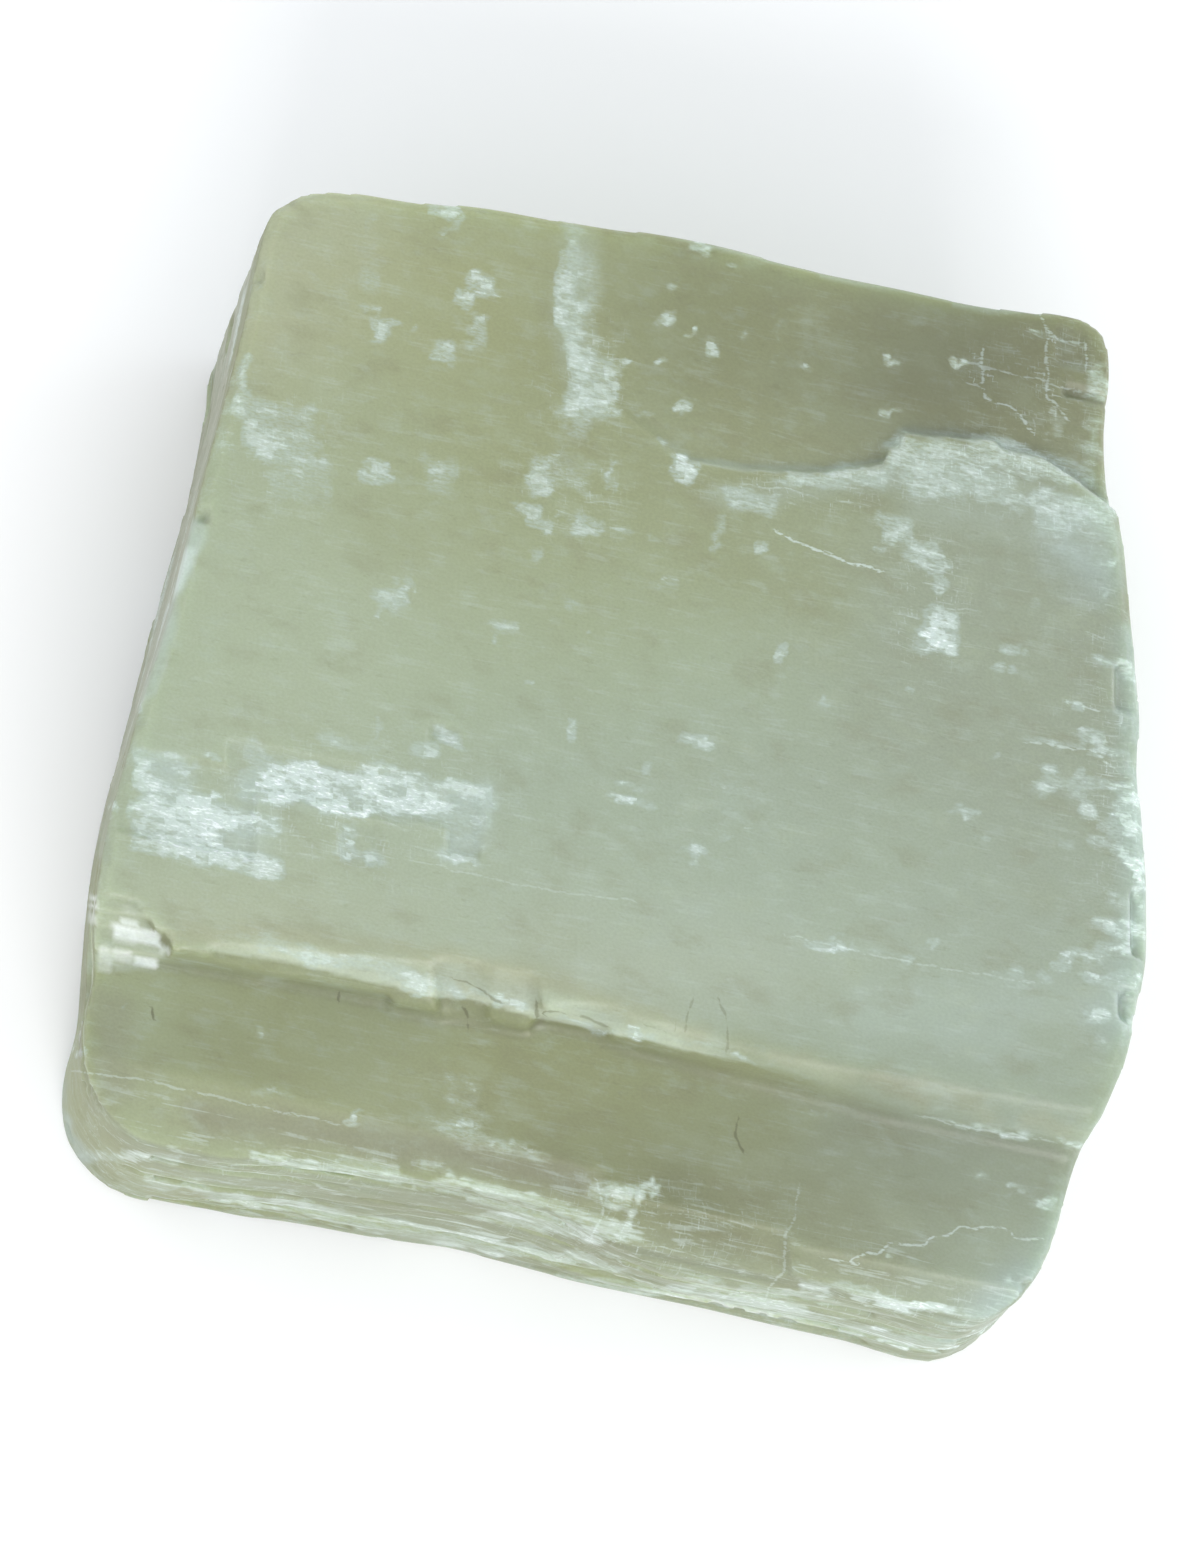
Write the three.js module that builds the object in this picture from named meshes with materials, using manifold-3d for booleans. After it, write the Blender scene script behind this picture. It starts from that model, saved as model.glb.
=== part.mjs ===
// A hand-sized block of green calcite, broken along the mineral's three cleavage directions.
// It grew as one crystal, so it is one solid. Millimetres, +Z up, resting on its bottom cleavage face.
//
// Plan positions are given at the level of the top face. The sides lean at the angle of the calcite
// cleavage rhomb, to the left and to the front going down, and every break follows that lattice.
import * as THREE from "three";
import { mergeVertices } from "three/addons/utils/BufferGeometryUtils.js";
import Module from "manifold-3d";

const wasm = await Module();
wasm.setup();

// Driving dimensions.
const THICKNESS = 34;
const RHOMB_ANGLE = THREE.MathUtils.degToRad(101.9); // the blunt angle of a calcite rhomb's faces
const SHELF_DROP = 3.5; // from the main top face down to the front shelf
const TERRACE_DROP = 1.5; // the back right terrace, at its deep end
const TERRACE_REACH = 41; // from the terrace's shallow left end to its deep one
const FLAKE_SCAR_DEPTH = 0.3;
const RIM = 0.7; // the worn bevel round the top and bottom faces
const STEPS_PER_SPAN = 3; // straight pieces between two points of the plan outline
const FACING_SPAN = 4; // points each way that settle which side a point of the outline faces
const CLEAR = 4; // how far a cutting block reaches past the surface it opens
const WELL_OUTSIDE = 70; // a plan distance that lies outside the block all round
const SHELF_RIM = { back: -16, right: 33 }; // the top rim runs along the shelf in front of these

// Ledges round the sides and chips along the rims: how many, and their least and greatest sizes.
const LEDGES = {
  count: 96,
  seed: 58,
  longest: 30,
  shortestShare: 0.35,
  bite: [0.22, 1.0],
  height: [0.8, 6.8],
  skewBite: 1.1, // how much deeper one end may bite than the middle
};
const CHIPS = { count: 30, seed: 7, depth: [0.3, 1.0], along: [0.5, 1.8], across: [1.0, 2.6] };

// The calcite lattice: ALONG runs across the block, ACROSS from front to back, and LEAN is how far
// the third direction leans in plan for each millimetre of height.
const cosine = Math.cos(RHOMB_ANGLE);
const sine = Math.sin(RHOMB_ANGLE);
const ALONG = new THREE.Vector3(sine, cosine, 0);
const ACROSS = new THREE.Vector3(0, 1, 0);
const rise = new THREE.Vector3((cosine ** 2 - cosine) / sine, -cosine, 0);
rise.z = Math.sqrt(1 - rise.x ** 2 - rise.y ** 2);
const LEAN = rise.divideScalar(rise.z);

// The back and right sides in plan, clockwise, with the bottom set over by the lean.
const BACK_AND_RIGHT = [
  [-24.9, 43.0], [-22.6, 44.3], [-19.3, 44.5], [-13.8, 43.7], [-8.8, 43.3], [-4.1, 42.4],
  [0.4, 41.6], [4.7, 41.1], [8.9, 40.3], [13.1, 39.1], [17.3, 38.1], [21.8, 37.1], [26.6, 36.1],
  [32.0, 35.3], [36.2, 34.9], [38.2, 33.6], [38.8, 30.8], [38.3, 26.0], [38.5, 21.8],
  [39.3, 17.3], [39.7, 12.7], [40.1, 8.4], [40.4, 4.1], [40.2, -0.1], [40.6, -4.3],
  [40.8, -8.7], [40.8, -13.3], [40.0, -17.8], [38.8, -22.3],
];
// The front and left sides, which show from above: plan point at the top, then at the bottom.
const FRONT_AND_LEFT = [
  [36.9, -26.7, 28.8, -33.6], [35.2, -31.2, 29.0, -37.6], [33.0, -36.3, 30.0, -41.4],
  [31.0, -39.0, 28.6, -44.1], [27.8, -40.6, 25.0, -45.7], [23.5, -39.6, 18.0, -44.0],
  [17.5, -38.2, 12.4, -42.8], [11.5, -37.6, 7.0, -41.5], [6.0, -36.6, 1.6, -40.4],
  [2.0, -34.6, -3.4, -39.4], [-3.5, -31.8, -8.6, -38.1], [-9.5, -30.2, -14.0, -36.7],
  [-16.0, -29.2, -20.4, -35.8], [-23.0, -28.4, -27.6, -34.4], [-30.0, -27.7, -35.4, -33.4],
  [-35.4, -26.0, -41.8, -31.8], [-38.1, -22.4, -45.4, -28.0], [-38.6, -18.2, -45.9, -23.4],
  [-38.0, -14.6, -44.8, -19.0], [-38.2, -10.4, -44.4, -14.0], [-37.4, -4.4, -43.9, -7.8],
  [-36.0, 1.0, -43.0, -2.2], [-34.5, 6.4, -41.9, 2.2], [-32.6, 12.0, -40.4, 8.2],
  [-31.2, 17.6, -38.9, 13.8], [-29.8, 23.6, -37.6, 18.6], [-28.3, 29.4, -36.2, 23.6],
  [-26.9, 35.2, -35.0, 29.4], [-26.0, 39.6, -34.4, 33.4],
];

// Where the top face steps down to the shelf, from left to right.
const STEP_LINE = [
  [-52.0, -9.6], [-38.0, -12.7], [-33.0, -13.1], [-26.4, -14.2], [-15.4, -16.1], [-15.2, -16.7],
  [-4.9, -18.4], [-4.5, -17.6], [0.9, -18.6], [1.2, -19.2], [7.1, -20.8], [13.6, -22.3],
  [21.4, -24.5], [29.5, -26.1], [36.4, -27.6], [52.0, -30.8],
];
const STEP_MIDDLE = -19.3; // where that step crosses the middle of the block
const STEP_SPREAD = 1.2; // how far the step's foot stands in front of its top edge, at most
// Splinters gone from the step's top edge: from and to in x, then width in plan and depth at each
// of those ends.
const SPLINTERS = [
  [-29.5, -4.6, [0.4, 0.3], [3.4, 1.9]], [-12.6, -8.6, [2.9, 2.2], [3.3, 2.4]],
  [-4.6, 1.6, [1.7, 1.6], [2.0, 1.3]], [1.6, 13.4, [1.6, 1.2], [0.8, 0.6]],
  [13.4, 38.0, [0.8, 0.6], [1.8, 1.4]],
];
// Bands worn off the shelf's front edge: from and to in x, y at the middle of the block, then
// width in plan and depth at each end.
const FRONT_WEAR = [
  [-40.0, 0.5, -33.6, [4.4, 1.5], [4.0, 1.2]], [-24.0, 14.0, -33.9, [2.6, 1.9], [2.4, 1.8]],
  [-2.0, 34.0, -34.7, [2.2, 1.3], [2.6, 1.5]],
];

// The edge of the back right terrace, from its shallow left end to the right side.
const TERRACE_EDGE = [
  [-3.2, 48.0], [-3.2, 35.6], [-1.4, 30.4], [1.6, 27.2], [6.4, 23.6], [11.0, 22.9], [16.5, 22.7],
  [21.2, 23.3], [21.4, 24.6], [22.4, 24.6], [22.6, 25.6], [29.6, 25.0], [29.8, 24.4], [33.0, 23.7],
  [35.2, 22.2], [38.0, 20.0], [50.0, 17.0], [50.0, 48.0],
];

// Shallow scars and chips on the top face: plan centre, size along and across, and depth.
const TOP_SCARS = [
  [-31.4, -2.2, 11.0, 6.6, FLAKE_SCAR_DEPTH], // the large flake scar on the left
  [-21.5, -0.6, 14.0, 3.6, FLAKE_SCAR_DEPTH * 0.8],
  [-13.4, -2.6, 8.4, 2.6, FLAKE_SCAR_DEPTH * 0.7],
  [-10.4, -3.9, 3.0, 5.2, FLAKE_SCAR_DEPTH],
  [-18.2, -5.2, 3.2, 3.4, FLAKE_SCAR_DEPTH * 0.6],
  [-12.0, 2.9, 2.6, 1.6, FLAKE_SCAR_DEPTH],
  [-37.6, -12.4, 5.6, 6.4, 0.7], // the stairs of broken blocks where the step meets the left side
  [-37.4, -13.4, 6.8, 5.6, 1.6],
  [-37.0, -14.2, 8.0, 5.0, 2.5],
  [39.2, 6.0, 2.2, 3.8, 0.6], // thin blocks off the right edge
  [40.4, 0.6, 2.6, 2.4, 0.4],
  [40.2, -11.6, 2.2, 5.0, 0.7],
  [39.4, -17.8, 2.4, 2.6, 1.0],
  [36.4, 28.6, 4.0, 1.2, 1.9], // and off the terrace's
  [35.4, 32.0, 2.6, 2.8, 1.7],
];

// Long plates gone from the front face: x of the middle, y there, height of the lower edge,
// length along, bite into the face, and thickness.
const FRONT_PLATES = [
  [-18.0, -30.9, 25.4, 30.0, 1.3, 1.1], [-24.0, -31.2, 20.6, 24.0, 1.5, 2.4],
  [-12.0, -33.4, 17.2, 33.0, 1.2, 0.9], [-26.0, -32.6, 12.0, 22.0, 1.4, 3.1],
  [-16.0, -35.3, 6.6, 36.0, 1.5, 1.4], [-30.0, -33.4, 3.0, 17.0, 1.3, 1.8],
  [14.0, -39.4, 24.6, 28.0, 1.3, 0.8], [8.0, -38.9, 20.0, 25.0, 1.6, 1.7],
  [18.0, -41.4, 15.6, 20.0, 1.3, 2.6], [4.0, -39.4, 11.6, 31.0, 1.5, 1.0],
  [14.0, -42.0, 7.4, 24.0, 1.5, 2.0], [2.0, -40.4, 2.2, 36.0, 1.2, 1.6],
];

// Broken layers under the bottom face's rim, which leave its middle flat to rest on.
const UNDER_BREAKS = [
  [-41.0, 16.0, 9.0, 26.0, 1.8], [29.0, -35.0, 9.0, 15.0, 2.6], [0.0, 35.6, 30.0, 6.0, 1.4],
  [-30.0, -34.0, 20.0, 5.0, 1.1], [30.0, 16.0, 7.0, 18.0, 2.2], [-24.0, 36.4, 16.0, 5.0, 3.1],
];

// Repeatable numbers from 0 to 1 for the small breaks.
function numbers(seed) {
  let state = seed;
  return () => {
    state = (state * 1664525 + 1013904223) % 4294967296;
    return state / 4294967296;
  };
}

function solidOf(geometry) {
  const bare = new THREE.BufferGeometry();
  bare.setAttribute("position", geometry.getAttribute("position"));
  bare.setIndex(geometry.getIndex());
  const merged = mergeVertices(bare, 1e-4);
  const triVerts = new Uint32Array(merged.index.array);
  const vertProperties = merged.attributes.position.array;
  return new wasm.Manifold(new wasm.Mesh({ numProp: 3, vertProperties, triVerts }));
}

function geometryOf(solid) {
  const mesh = solid.getMesh();
  const geometry = new THREE.BufferGeometry();
  geometry.setAttribute("position", new THREE.BufferAttribute(mesh.vertProperties, 3));
  geometry.setIndex(new THREE.BufferAttribute(mesh.triVerts, 1));
  return geometry;
}

// The matrix that leans upright work to the cleavage, holding what is at one level.
function leanAbout(level) {
  const m = new THREE.Matrix4();
  m.set(
    1, 0, LEAN.x, -LEAN.x * level,
    0, 1, LEAN.y, -LEAN.y * level,
    0, 0, 1, 0,
    0, 0, 0, 1,
  );
  return m;
}

function extruded(points, depth) {
  const shape = new THREE.Shape(points.map(([x, y]) => new THREE.Vector2(x, y)));
  return new THREE.ExtrudeGeometry(shape, { depth, bevelEnabled: false });
}

// A block with its faces along the lattice; (x, y) is the middle of its lower face.
function latticeBlock(x, y, along, across, low, high) {
  const geometry = new THREE.BoxGeometry(along, across, high - low);
  geometry.translate(0, 0, (high - low) / 2);
  geometry.applyMatrix4(new THREE.Matrix4().makeBasis(ALONG, ACROSS, LEAN));
  return solidOf(geometry.translate(x, y, low));
}

// A wedge that slopes down to the front, as far as `reach` in front of a line along the lattice
// that crosses the middle of the block at y. Each end gives how far behind that line its upper
// edge lies and how deep it is at the line.
function frontWedge(from, to, y, reach, ends, level) {
  const rings = ends.map(([width, depth]) => {
    const foot = -(depth / width) * (reach + width);
    return [[width, 0], [width, CLEAR], [-reach, CLEAR], [-reach, foot]];
  });
  const length = (to - from) / sine;
  const positions = rings.flatMap((ring, end) => ring.flatMap(([x, z]) => [x, z, end * length]));
  const index = [0, 2, 1, 0, 3, 2, 4, 5, 6, 4, 6, 7];
  for (let i = 0; i < 4; i++) {
    const j = (i + 1) % 4;
    index.push(i, j, j + 4, i, j + 4, i + 4);
  }
  const geometry = new THREE.BufferGeometry();
  geometry.setAttribute("position", new THREE.Float32BufferAttribute(positions, 3));
  geometry.setIndex(index);
  const up = new THREE.Vector3(0, 0, 1);
  geometry.applyMatrix4(new THREE.Matrix4().makeBasis(ACROSS, up, ALONG));
  return solidOf(geometry.translate(from, y + (from * cosine) / sine, level));
}

// The smoothed outline, counterclockwise: plan points at the top and at the bottom, and the
// outward direction of the stretch round each.
function smoothOutline() {
  const fall = [-LEAN.x * THICKNESS, -LEAN.y * THICKNESS];
  const rows = [
    ...BACK_AND_RIGHT.map(([x, y]) => [x, y, x + fall[0], y + fall[1]]),
    ...FRONT_AND_LEFT,
  ].reverse();
  const smooth = (points) => new THREE.CatmullRomCurve3(points, true, "centripetal");
  const top = smooth(rows.map((row) => new THREE.Vector3(row[0], row[1], THICKNESS)));
  const bottom = smooth(rows.map((row) => new THREE.Vector3(row[2], row[3], 0)));
  const count = rows.length * STEPS_PER_SPAN;
  const tops = Array.from({ length: count }, (_, i) => top.getPoint(i / count));
  return tops.map((point, i) => {
    const before = tops[(i - FACING_SPAN + count) % count];
    const after = tops[(i + FACING_SPAN) % count];
    const tangent = new THREE.Vector3().subVectors(after, before).setZ(0).normalize();
    const normal = new THREE.Vector3(tangent.y, -tangent.x, 0);
    return { top: point, bottom: bottom.getPoint(i / count), tangent, normal };
  });
}

function sidePoint(place, height) {
  return new THREE.Vector3().lerpVectors(place.bottom, place.top, height / THICKNESS);
}

// The block before anything broke off it: sides ruled from the bottom outline to the top one.
function wholeBlock(outline) {
  const count = outline.length;
  const levels = [
    { height: 0, inset: RIM },
    { height: RIM, inset: 0 },
    { height: THICKNESS - RIM, inset: 0 },
    { height: THICKNESS, inset: RIM },
  ];
  const rings = levels.map(({ height, inset }) =>
    outline.map((place) => sidePoint(place, height).addScaledVector(place.normal, -inset)),
  );
  const positions = rings.flat().flatMap((point) => point.toArray());
  const index = [];
  for (let ring = 0; ring < rings.length - 1; ring++) {
    for (let i = 0; i < count; i++) {
      const a = ring * count + i;
      const b = ring * count + ((i + 1) % count);
      index.push(a, b, a + count, b, b + count, a + count);
    }
  }
  const last = (rings.length - 1) * count;
  for (const [i, j, k] of THREE.ShapeUtils.triangulateShape(rings[0], [])) index.push(k, j, i);
  for (const [i, j, k] of THREE.ShapeUtils.triangulateShape(rings.at(-1), [])) {
    index.push(last + i, last + j, last + k);
  }
  const geometry = new THREE.BufferGeometry();
  geometry.setAttribute("position", new THREE.Float32BufferAttribute(positions, 3));
  geometry.setIndex(index);
  return solidOf(geometry);
}

// The shelf along the front, the splinters off the step above it and the wear along its edge.
function shelf() {
  const region = [...STEP_LINE, [WELL_OUTSIDE, -WELL_OUTSIDE], [-WELL_OUTSIDE, -WELL_OUTSIDE]];
  const drop = extruded(region, SHELF_DROP + CLEAR).translate(0, 0, THICKNESS - SHELF_DROP);
  return [
    solidOf(drop.applyMatrix4(leanAbout(THICKNESS))),
    ...SPLINTERS.map(([from, to, ...ends]) =>
      frontWedge(from, to, STEP_MIDDLE, STEP_SPREAD, ends, THICKNESS),
    ),
    ...FRONT_WEAR.map(([from, to, y, ...ends]) =>
      frontWedge(from, to, y, CLEAR, ends, THICKNESS - SHELF_DROP),
    ),
  ];
}

// A thin flake gone from the back right corner: nothing at its left end, deepest at the right.
function terrace() {
  const hinge = TERRACE_EDGE[0][0];
  const cut = extruded(TERRACE_EDGE.map(([x, y]) => [x - hinge, y]), CLEAR);
  cut.rotateY(Math.atan2(TERRACE_DROP, TERRACE_REACH));
  return solidOf(cut.translate(hinge, 0, THICKNESS));
}

// A size between the least and the greatest; most come out small.
function mostlySmall([least, greatest], next) {
  return least + (greatest - least) * next() ** 2;
}

// Ledges round the sides, where thin cleavage plates and small blocks have come away.
function sideLedges(outline) {
  const next = numbers(LEDGES.seed);
  const ledges = [];
  for (let i = 0; i < LEDGES.count; i++) {
    const place = outline[Math.floor(((i + next()) / LEDGES.count) * outline.length)];
    const { tangent } = place;
    const runsAlong = Math.abs(tangent.dot(ALONG)) > Math.abs(tangent.dot(ACROSS));
    const lattice = runsAlong ? ALONG : ACROSS;
    const skew = new THREE.Vector3().crossVectors(tangent, lattice).length();
    const longest = Math.min(LEDGES.longest, (2 * LEDGES.skewBite) / skew);
    const run = longest * THREE.MathUtils.lerp(LEDGES.shortestShare, 1, next());
    const bite = mostlySmall(LEDGES.bite, next);
    const height = mostlySmall(LEDGES.height, next);
    const low = next() * (THICKNESS - SHELF_DROP - height);
    const { x, y } = sidePoint(place, low);
    const [along, across] = runsAlong ? [run, 2 * bite] : [2 * bite, run];
    ledges.push(latticeBlock(x, y, along, across, low, low + height));
  }
  return ledges;
}

// Small chips along the rims that show from above.
function rimChips(outline) {
  const next = numbers(CHIPS.seed);
  const chips = [];
  for (let i = 0; i < CHIPS.count; i++) {
    const place = outline[Math.floor(((i + next()) / CHIPS.count) * outline.length)];
    const onShelf = place.top.y < SHELF_RIM.back && place.top.x < SHELF_RIM.right;
    const level = onShelf ? THICKNESS - SHELF_DROP : THICKNESS;
    const depth = mostlySmall(CHIPS.depth, next);
    const along = mostlySmall(CHIPS.along, next);
    const across = mostlySmall(CHIPS.across, next);
    const { x, y } = sidePoint(place, level);
    chips.push(latticeBlock(x, y, along, across, level - depth, level + CLEAR));
  }
  return chips;
}

function calciteBlock() {
  const outline = smoothOutline();
  const cuts = [
    ...shelf(),
    terrace(),
    ...TOP_SCARS.map(([x, y, along, across, depth]) =>
      latticeBlock(x, y, along, across, THICKNESS - depth, THICKNESS + CLEAR),
    ),
    ...FRONT_PLATES.map(([x, y, low, length, bite, thickness]) =>
      latticeBlock(x, y, length, bite, low, low + thickness),
    ),
    ...sideLedges(outline),
    ...rimChips(outline),
    ...UNDER_BREAKS.map(([x, y, along, across, depth]) =>
      latticeBlock(x, y, along, across, -CLEAR, depth),
    ),
  ];
  const block = cuts.reduce((rest, cut) => rest.subtract(cut), wholeBlock(outline));
  const pieces = block.decompose().sort((a, b) => b.volume() - a.volume());
  const geometry = geometryOf(pieces[0]);
  geometry.computeBoundingBox();
  const { min, max } = geometry.boundingBox;
  geometry.translate(-(min.x + max.x) / 2, -(min.y + max.y) / 2, -min.z);
  geometry.computeVertexNormals();
  return geometry;
}

const calcite = new THREE.Mesh(
  calciteBlock(),
  new THREE.MeshStandardMaterial({ color: 0xaab594, roughness: 0.35, metalness: 0, flatShading: true }),
);
calcite.name = "green_calcite";

const part = new THREE.Group();
part.add(calcite);

export default part;
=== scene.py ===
# A block of green calcite on a pale floor, seen from above.
# Metres in Blender; every size below is in millimetres.
import math

import bpy
import numpy as np
from mathutils import Matrix, Vector


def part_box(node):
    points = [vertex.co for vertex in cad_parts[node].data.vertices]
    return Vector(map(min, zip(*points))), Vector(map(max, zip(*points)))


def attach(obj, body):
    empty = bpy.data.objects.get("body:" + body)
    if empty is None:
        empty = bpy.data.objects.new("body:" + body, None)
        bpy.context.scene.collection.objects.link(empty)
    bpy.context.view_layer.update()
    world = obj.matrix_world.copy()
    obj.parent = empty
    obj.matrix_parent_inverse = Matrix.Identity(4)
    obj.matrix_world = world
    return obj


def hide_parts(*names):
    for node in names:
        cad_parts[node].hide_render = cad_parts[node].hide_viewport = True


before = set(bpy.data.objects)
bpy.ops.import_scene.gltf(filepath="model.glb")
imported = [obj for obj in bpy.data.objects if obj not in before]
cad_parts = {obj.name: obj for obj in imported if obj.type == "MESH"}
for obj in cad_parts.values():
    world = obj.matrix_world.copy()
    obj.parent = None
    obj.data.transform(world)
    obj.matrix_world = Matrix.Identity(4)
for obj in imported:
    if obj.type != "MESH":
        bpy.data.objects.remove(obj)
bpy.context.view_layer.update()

MM = 0.001
NODE = "green_calcite"

# The block, as the CAD has it.
RHOMB_ANGLE = math.radians(101.9)
RIGHT_END = 40.85  # the top outline's right and back ends, from the middle of the picture
BACK_END = 44.55

# The camera, from the middle of the picture at the top face's level.
CAMERA_PLACE = (15, -25, 355)
PICTURE_HEIGHT = 116.3
SENSOR = 36.0

# The fine mesh.
VOXEL = 0.36
MOST_FACES = 196000

low_corner, high_corner = (Vector(corner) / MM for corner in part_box(NODE))
TOP = high_corner.z
MIDDLE = Vector((high_corner.x - RIGHT_END, high_corner.y - BACK_END, TOP))

# The cleavage lattice: ALONG and ACROSS in plan, LEAN in plan for each millimetre of height.
C, S = math.cos(RHOMB_ANGLE), math.sin(RHOMB_ANGLE)
rise_x, rise_y = (C * C - C) / S, -C
rise_z = math.sqrt(1 - rise_x**2 - rise_y**2)
LEAN = (rise_x / rise_z, rise_y / rise_z)

# Soft changes over the block: the value where each starts, and the value where it is full.
# Where the mesh is worn, in lattice coordinates.
FRONT_WEAR_ACROSS = (-31, -33)
FRONT_WEAR_HEIGHT = (-14, -9)
STEP_WEAR_FOOT = (-25, -22)
STEP_WEAR_TOP = (-13, -16)
STEP_WEAR_HEIGHT = (-6, -4.5)
STEP_WEAR_ALONG = (-15, -9)
STEP_RIGHT_ALONG = (5, 11)
# Which way a point faces, by one part of its normal.
KEPT_WHOLE = (0.2, 0.6)
FLAT_FACE = (0.5, 0.9)
LESS_PLATED = (0, 0.2)
TOP_FACE = (0.35, 0.75)
TURNED_UP = (-0.05, 0.25)
SIDE_FACE = (0.2, 0.6)
SLOPE_TO_FRONT = (0.05, 0.30)
SLOPE_TO_BACK = (0.10, 0.35)
# Where a point is, in lattice coordinates.
NEAR_TOP = (-6.5, -4.5)
FRONT_SIDE = (-28, -31)
LEFT_SIDE = (-34, -36)
STEP_SIDE = (-28, -26)
LAYERS_ACROSS = (-27.5, -31)
LAYERS_ALONG = (-40, -33)
BELOW_SHELF = (-3.2, -4.2)
ABOVE_TERRACE = (-1.8, -1.3)
ABOVE_FLOOR = (-TOP + 0.2, -TOP + 1.2)
FOOT = (-TOP + 4, -TOP + 0.5)
# Where a point shows on the picture.
SOFT_EDGE_X = (10, 20)
# The cream band of painted highlight along the step fades in over CREAM_LEFT_X and out over CREAM_RIGHT_X.
CREAM_LEFT_X = (-32, -22)
CREAM_RIGHT_X = (12, 5)
# Painted shade on the front-facing slopes shows on the shelf and right of DARK_SLOPE_X, and is weaker right
# of FAINT_SLOPE_X.
DARK_SLOPE_X = (6, 14)
FAINT_SLOPE_X = (4, 12)
# BACK_SLOPE_X: where the painted light on the back-facing slopes starts.
BACK_SLOPE_X = (4, 8)
# LEFT_CORNER_Y: where the painted shade on the left face weakens, towards the front-left corner.
LEFT_CORNER_Y = (-17, -21)

# How often each place is smoothed, from the whole mesh to the step's right end.
WEAR_ALL, WEAR_FRONT, WEAR_STEP, WEAR_STEP_RIGHT = 1, 16, 8, 28

# Thin plates on the sides: thickness, length of their waves, depth.
PLATES = [(1.7, 13, 0.09), (3.9, 21, 0.15), (0.9, 7, 0.04)]
PLATE_BEND = 0.15
SWELL_SIZE, SWELL_DEPTH = (9, 7, 9), 0.10
STEPS_SIZE, STEPS_DEPTH, STEPS_LEVELS = (16, 5, 30), 0.12, 7

# How soft shapes are moved about: share of it across, size of the waves, reach.
ZONE_WARP = (0.6, 6, 3)
STAIN_WARP = (0.6, 2.2, 1)
EDGE_WARP = (0.6, 1.5, 0.35)
VEIL_WARP = (0.5, 1.3, 0.7)
LINE_WARP = (1, 1, 0.25)

# Cells along and across the lattice that each shift the veils a little.
VEIL_CELL = (1.2, 0.7)
VEIL_SHIFT = (0.8, 0.5)
STREAK_SOFT = 0.35

# How strongly each face or band takes its colour. On the left face that colour is partly painted shade, the
# step's cream band is a painted highlight, the back slopes get painted light, and SLOPE_SHADE is painted
# shade on the front-facing slopes.
HIDDEN_SHARE = 0.5
FRONT_SHARE = 0.8
LEFT_SHARE, LEFT_CORNER_LOSS = 0.9, 0.5
CREAM_SHARE = 0.9
BACK_SLOPE_SHARE = 0.35
FOOT_SHARE = 0.6
SLOPE_SHADE, FAINT_SLOPE_LOSS = 0.18, 0.09
SIDE_VEIL, SIDE_VEIL_FROM, SIDE_VEIL_SIZE = 0.7, (0.62, 0.80), (8, 8, 2.6)
SIDE_SEEN_LOSS = 0.85

# The cleavage grain in the material: waves to a millimetre along, across and up, detail, roughness.
GRAINS = {
    "clouds": ((0.07, 0.10, 0.08), 3, 0.55),
    "patches": ((0.20, 0.34, 0.25), 3, 0.60),
    "wisps": ((0.42, 0.75, 0.60), 4, 0.63),
    "fibres": ((0.75, 2.3, 1.9), 3, 0.68),
    "fine_fibres": ((1.6, 5.5, 4.5), 2, 0.60),
    "grains": ((4, 5, 4), 1, 0.60),
    "layers": ((0.07, 0.07, 1.9), 3, 0.60),
    "plates": ((0.07, 1.3, 0.5), 3, 0.62),
    "stretched": ((0.05, 1.1, 0.6), 2, 0.50),
}
SHAKE_SIZE, SHAKE = 0.3, 1.3
BLOCKS = (0.85, 1.9, 1.1)
WIDE_NET = (2.3, 1.25, 0.07)  # length and width of a cell, width of its line
FINE_NET = (0.9, 0.53, 0.05)
FINE_NET_SHARE = 0.6

# The finish.
IOR = 1.6
SPECULAR = 0.35
WORN_ROUGHNESS = 0.6
BUMP, BUMP_DEPTH, FIBRE_BUMP, GRAIN_BUMP = 0.3, 0.06, 0.6, 0.35
SCATTER, SCATTER_RADIUS, SCATTER_DEPTH = 0.75, (1, 1.15, 0.85), 3.0
ABSORB_COLOUR, ABSORB_DENSITY = (0.72, 0.80, 0.50), 22.0

# The floor and the lights: place in metres, size, power, colour.
FLOOR_HALF, FLOOR_COLOUR, FLOOR_ROUGHNESS = 1.5, (0.97, 0.97, 0.97), 0.8
WORLD_COLOUR, WORLD_STRENGTH = (0.95, 0.97, 1), 1.0
LIGHTS = {
    "key": ((0.15, -0.95, 0.95), 0.7, 6.5, (1, 0.99, 0.97)),
    "cool_side": ((1.1, 0.15, 0.45), 0.5, 2.2, (0.80, 0.92, 1)),
}

# Colours.
OLIVE = (0.262, 0.280, 0.146)
SOFT_OLIVE = (0.305, 0.332, 0.178)
MILKY = (0.340, 0.398, 0.275)
SAGE = (0.330, 0.388, 0.315)
GREY = (0.285, 0.320, 0.245)
BROWN = (0.240, 0.242, 0.140)
PALE = (0.420, 0.435, 0.300)
TAN = (0.330, 0.318, 0.180)
DEEP = (0.150, 0.155, 0.080)
PURPLE = (0.238, 0.234, 0.165)
STRAW = (0.372, 0.390, 0.210)
# LEFT_FACE is the left face's brownish colour, darkened by painted shade.
LEFT_FACE = (0.165, 0.168, 0.070)
FRONT_FACE = (0.205, 0.228, 0.140)
# CREAM is a painted highlight: the front light on the step's slope.
CREAM = (0.520, 0.580, 0.450)
SOFT_GREEN = (0.385, 0.440, 0.315)
# COOL is bluish; on the right rim it is painted cool light.
COOL = (0.400, 0.500, 0.530)
HAZE = (0.435, 0.520, 0.470)
FRAGMENT = (0.600, 0.690, 0.650)
# PAINTED_GLINT is the white of painted glints, light reflected off cleavage cracks.
PAINTED_GLINT = (0.880, 0.930, 0.920)

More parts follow.
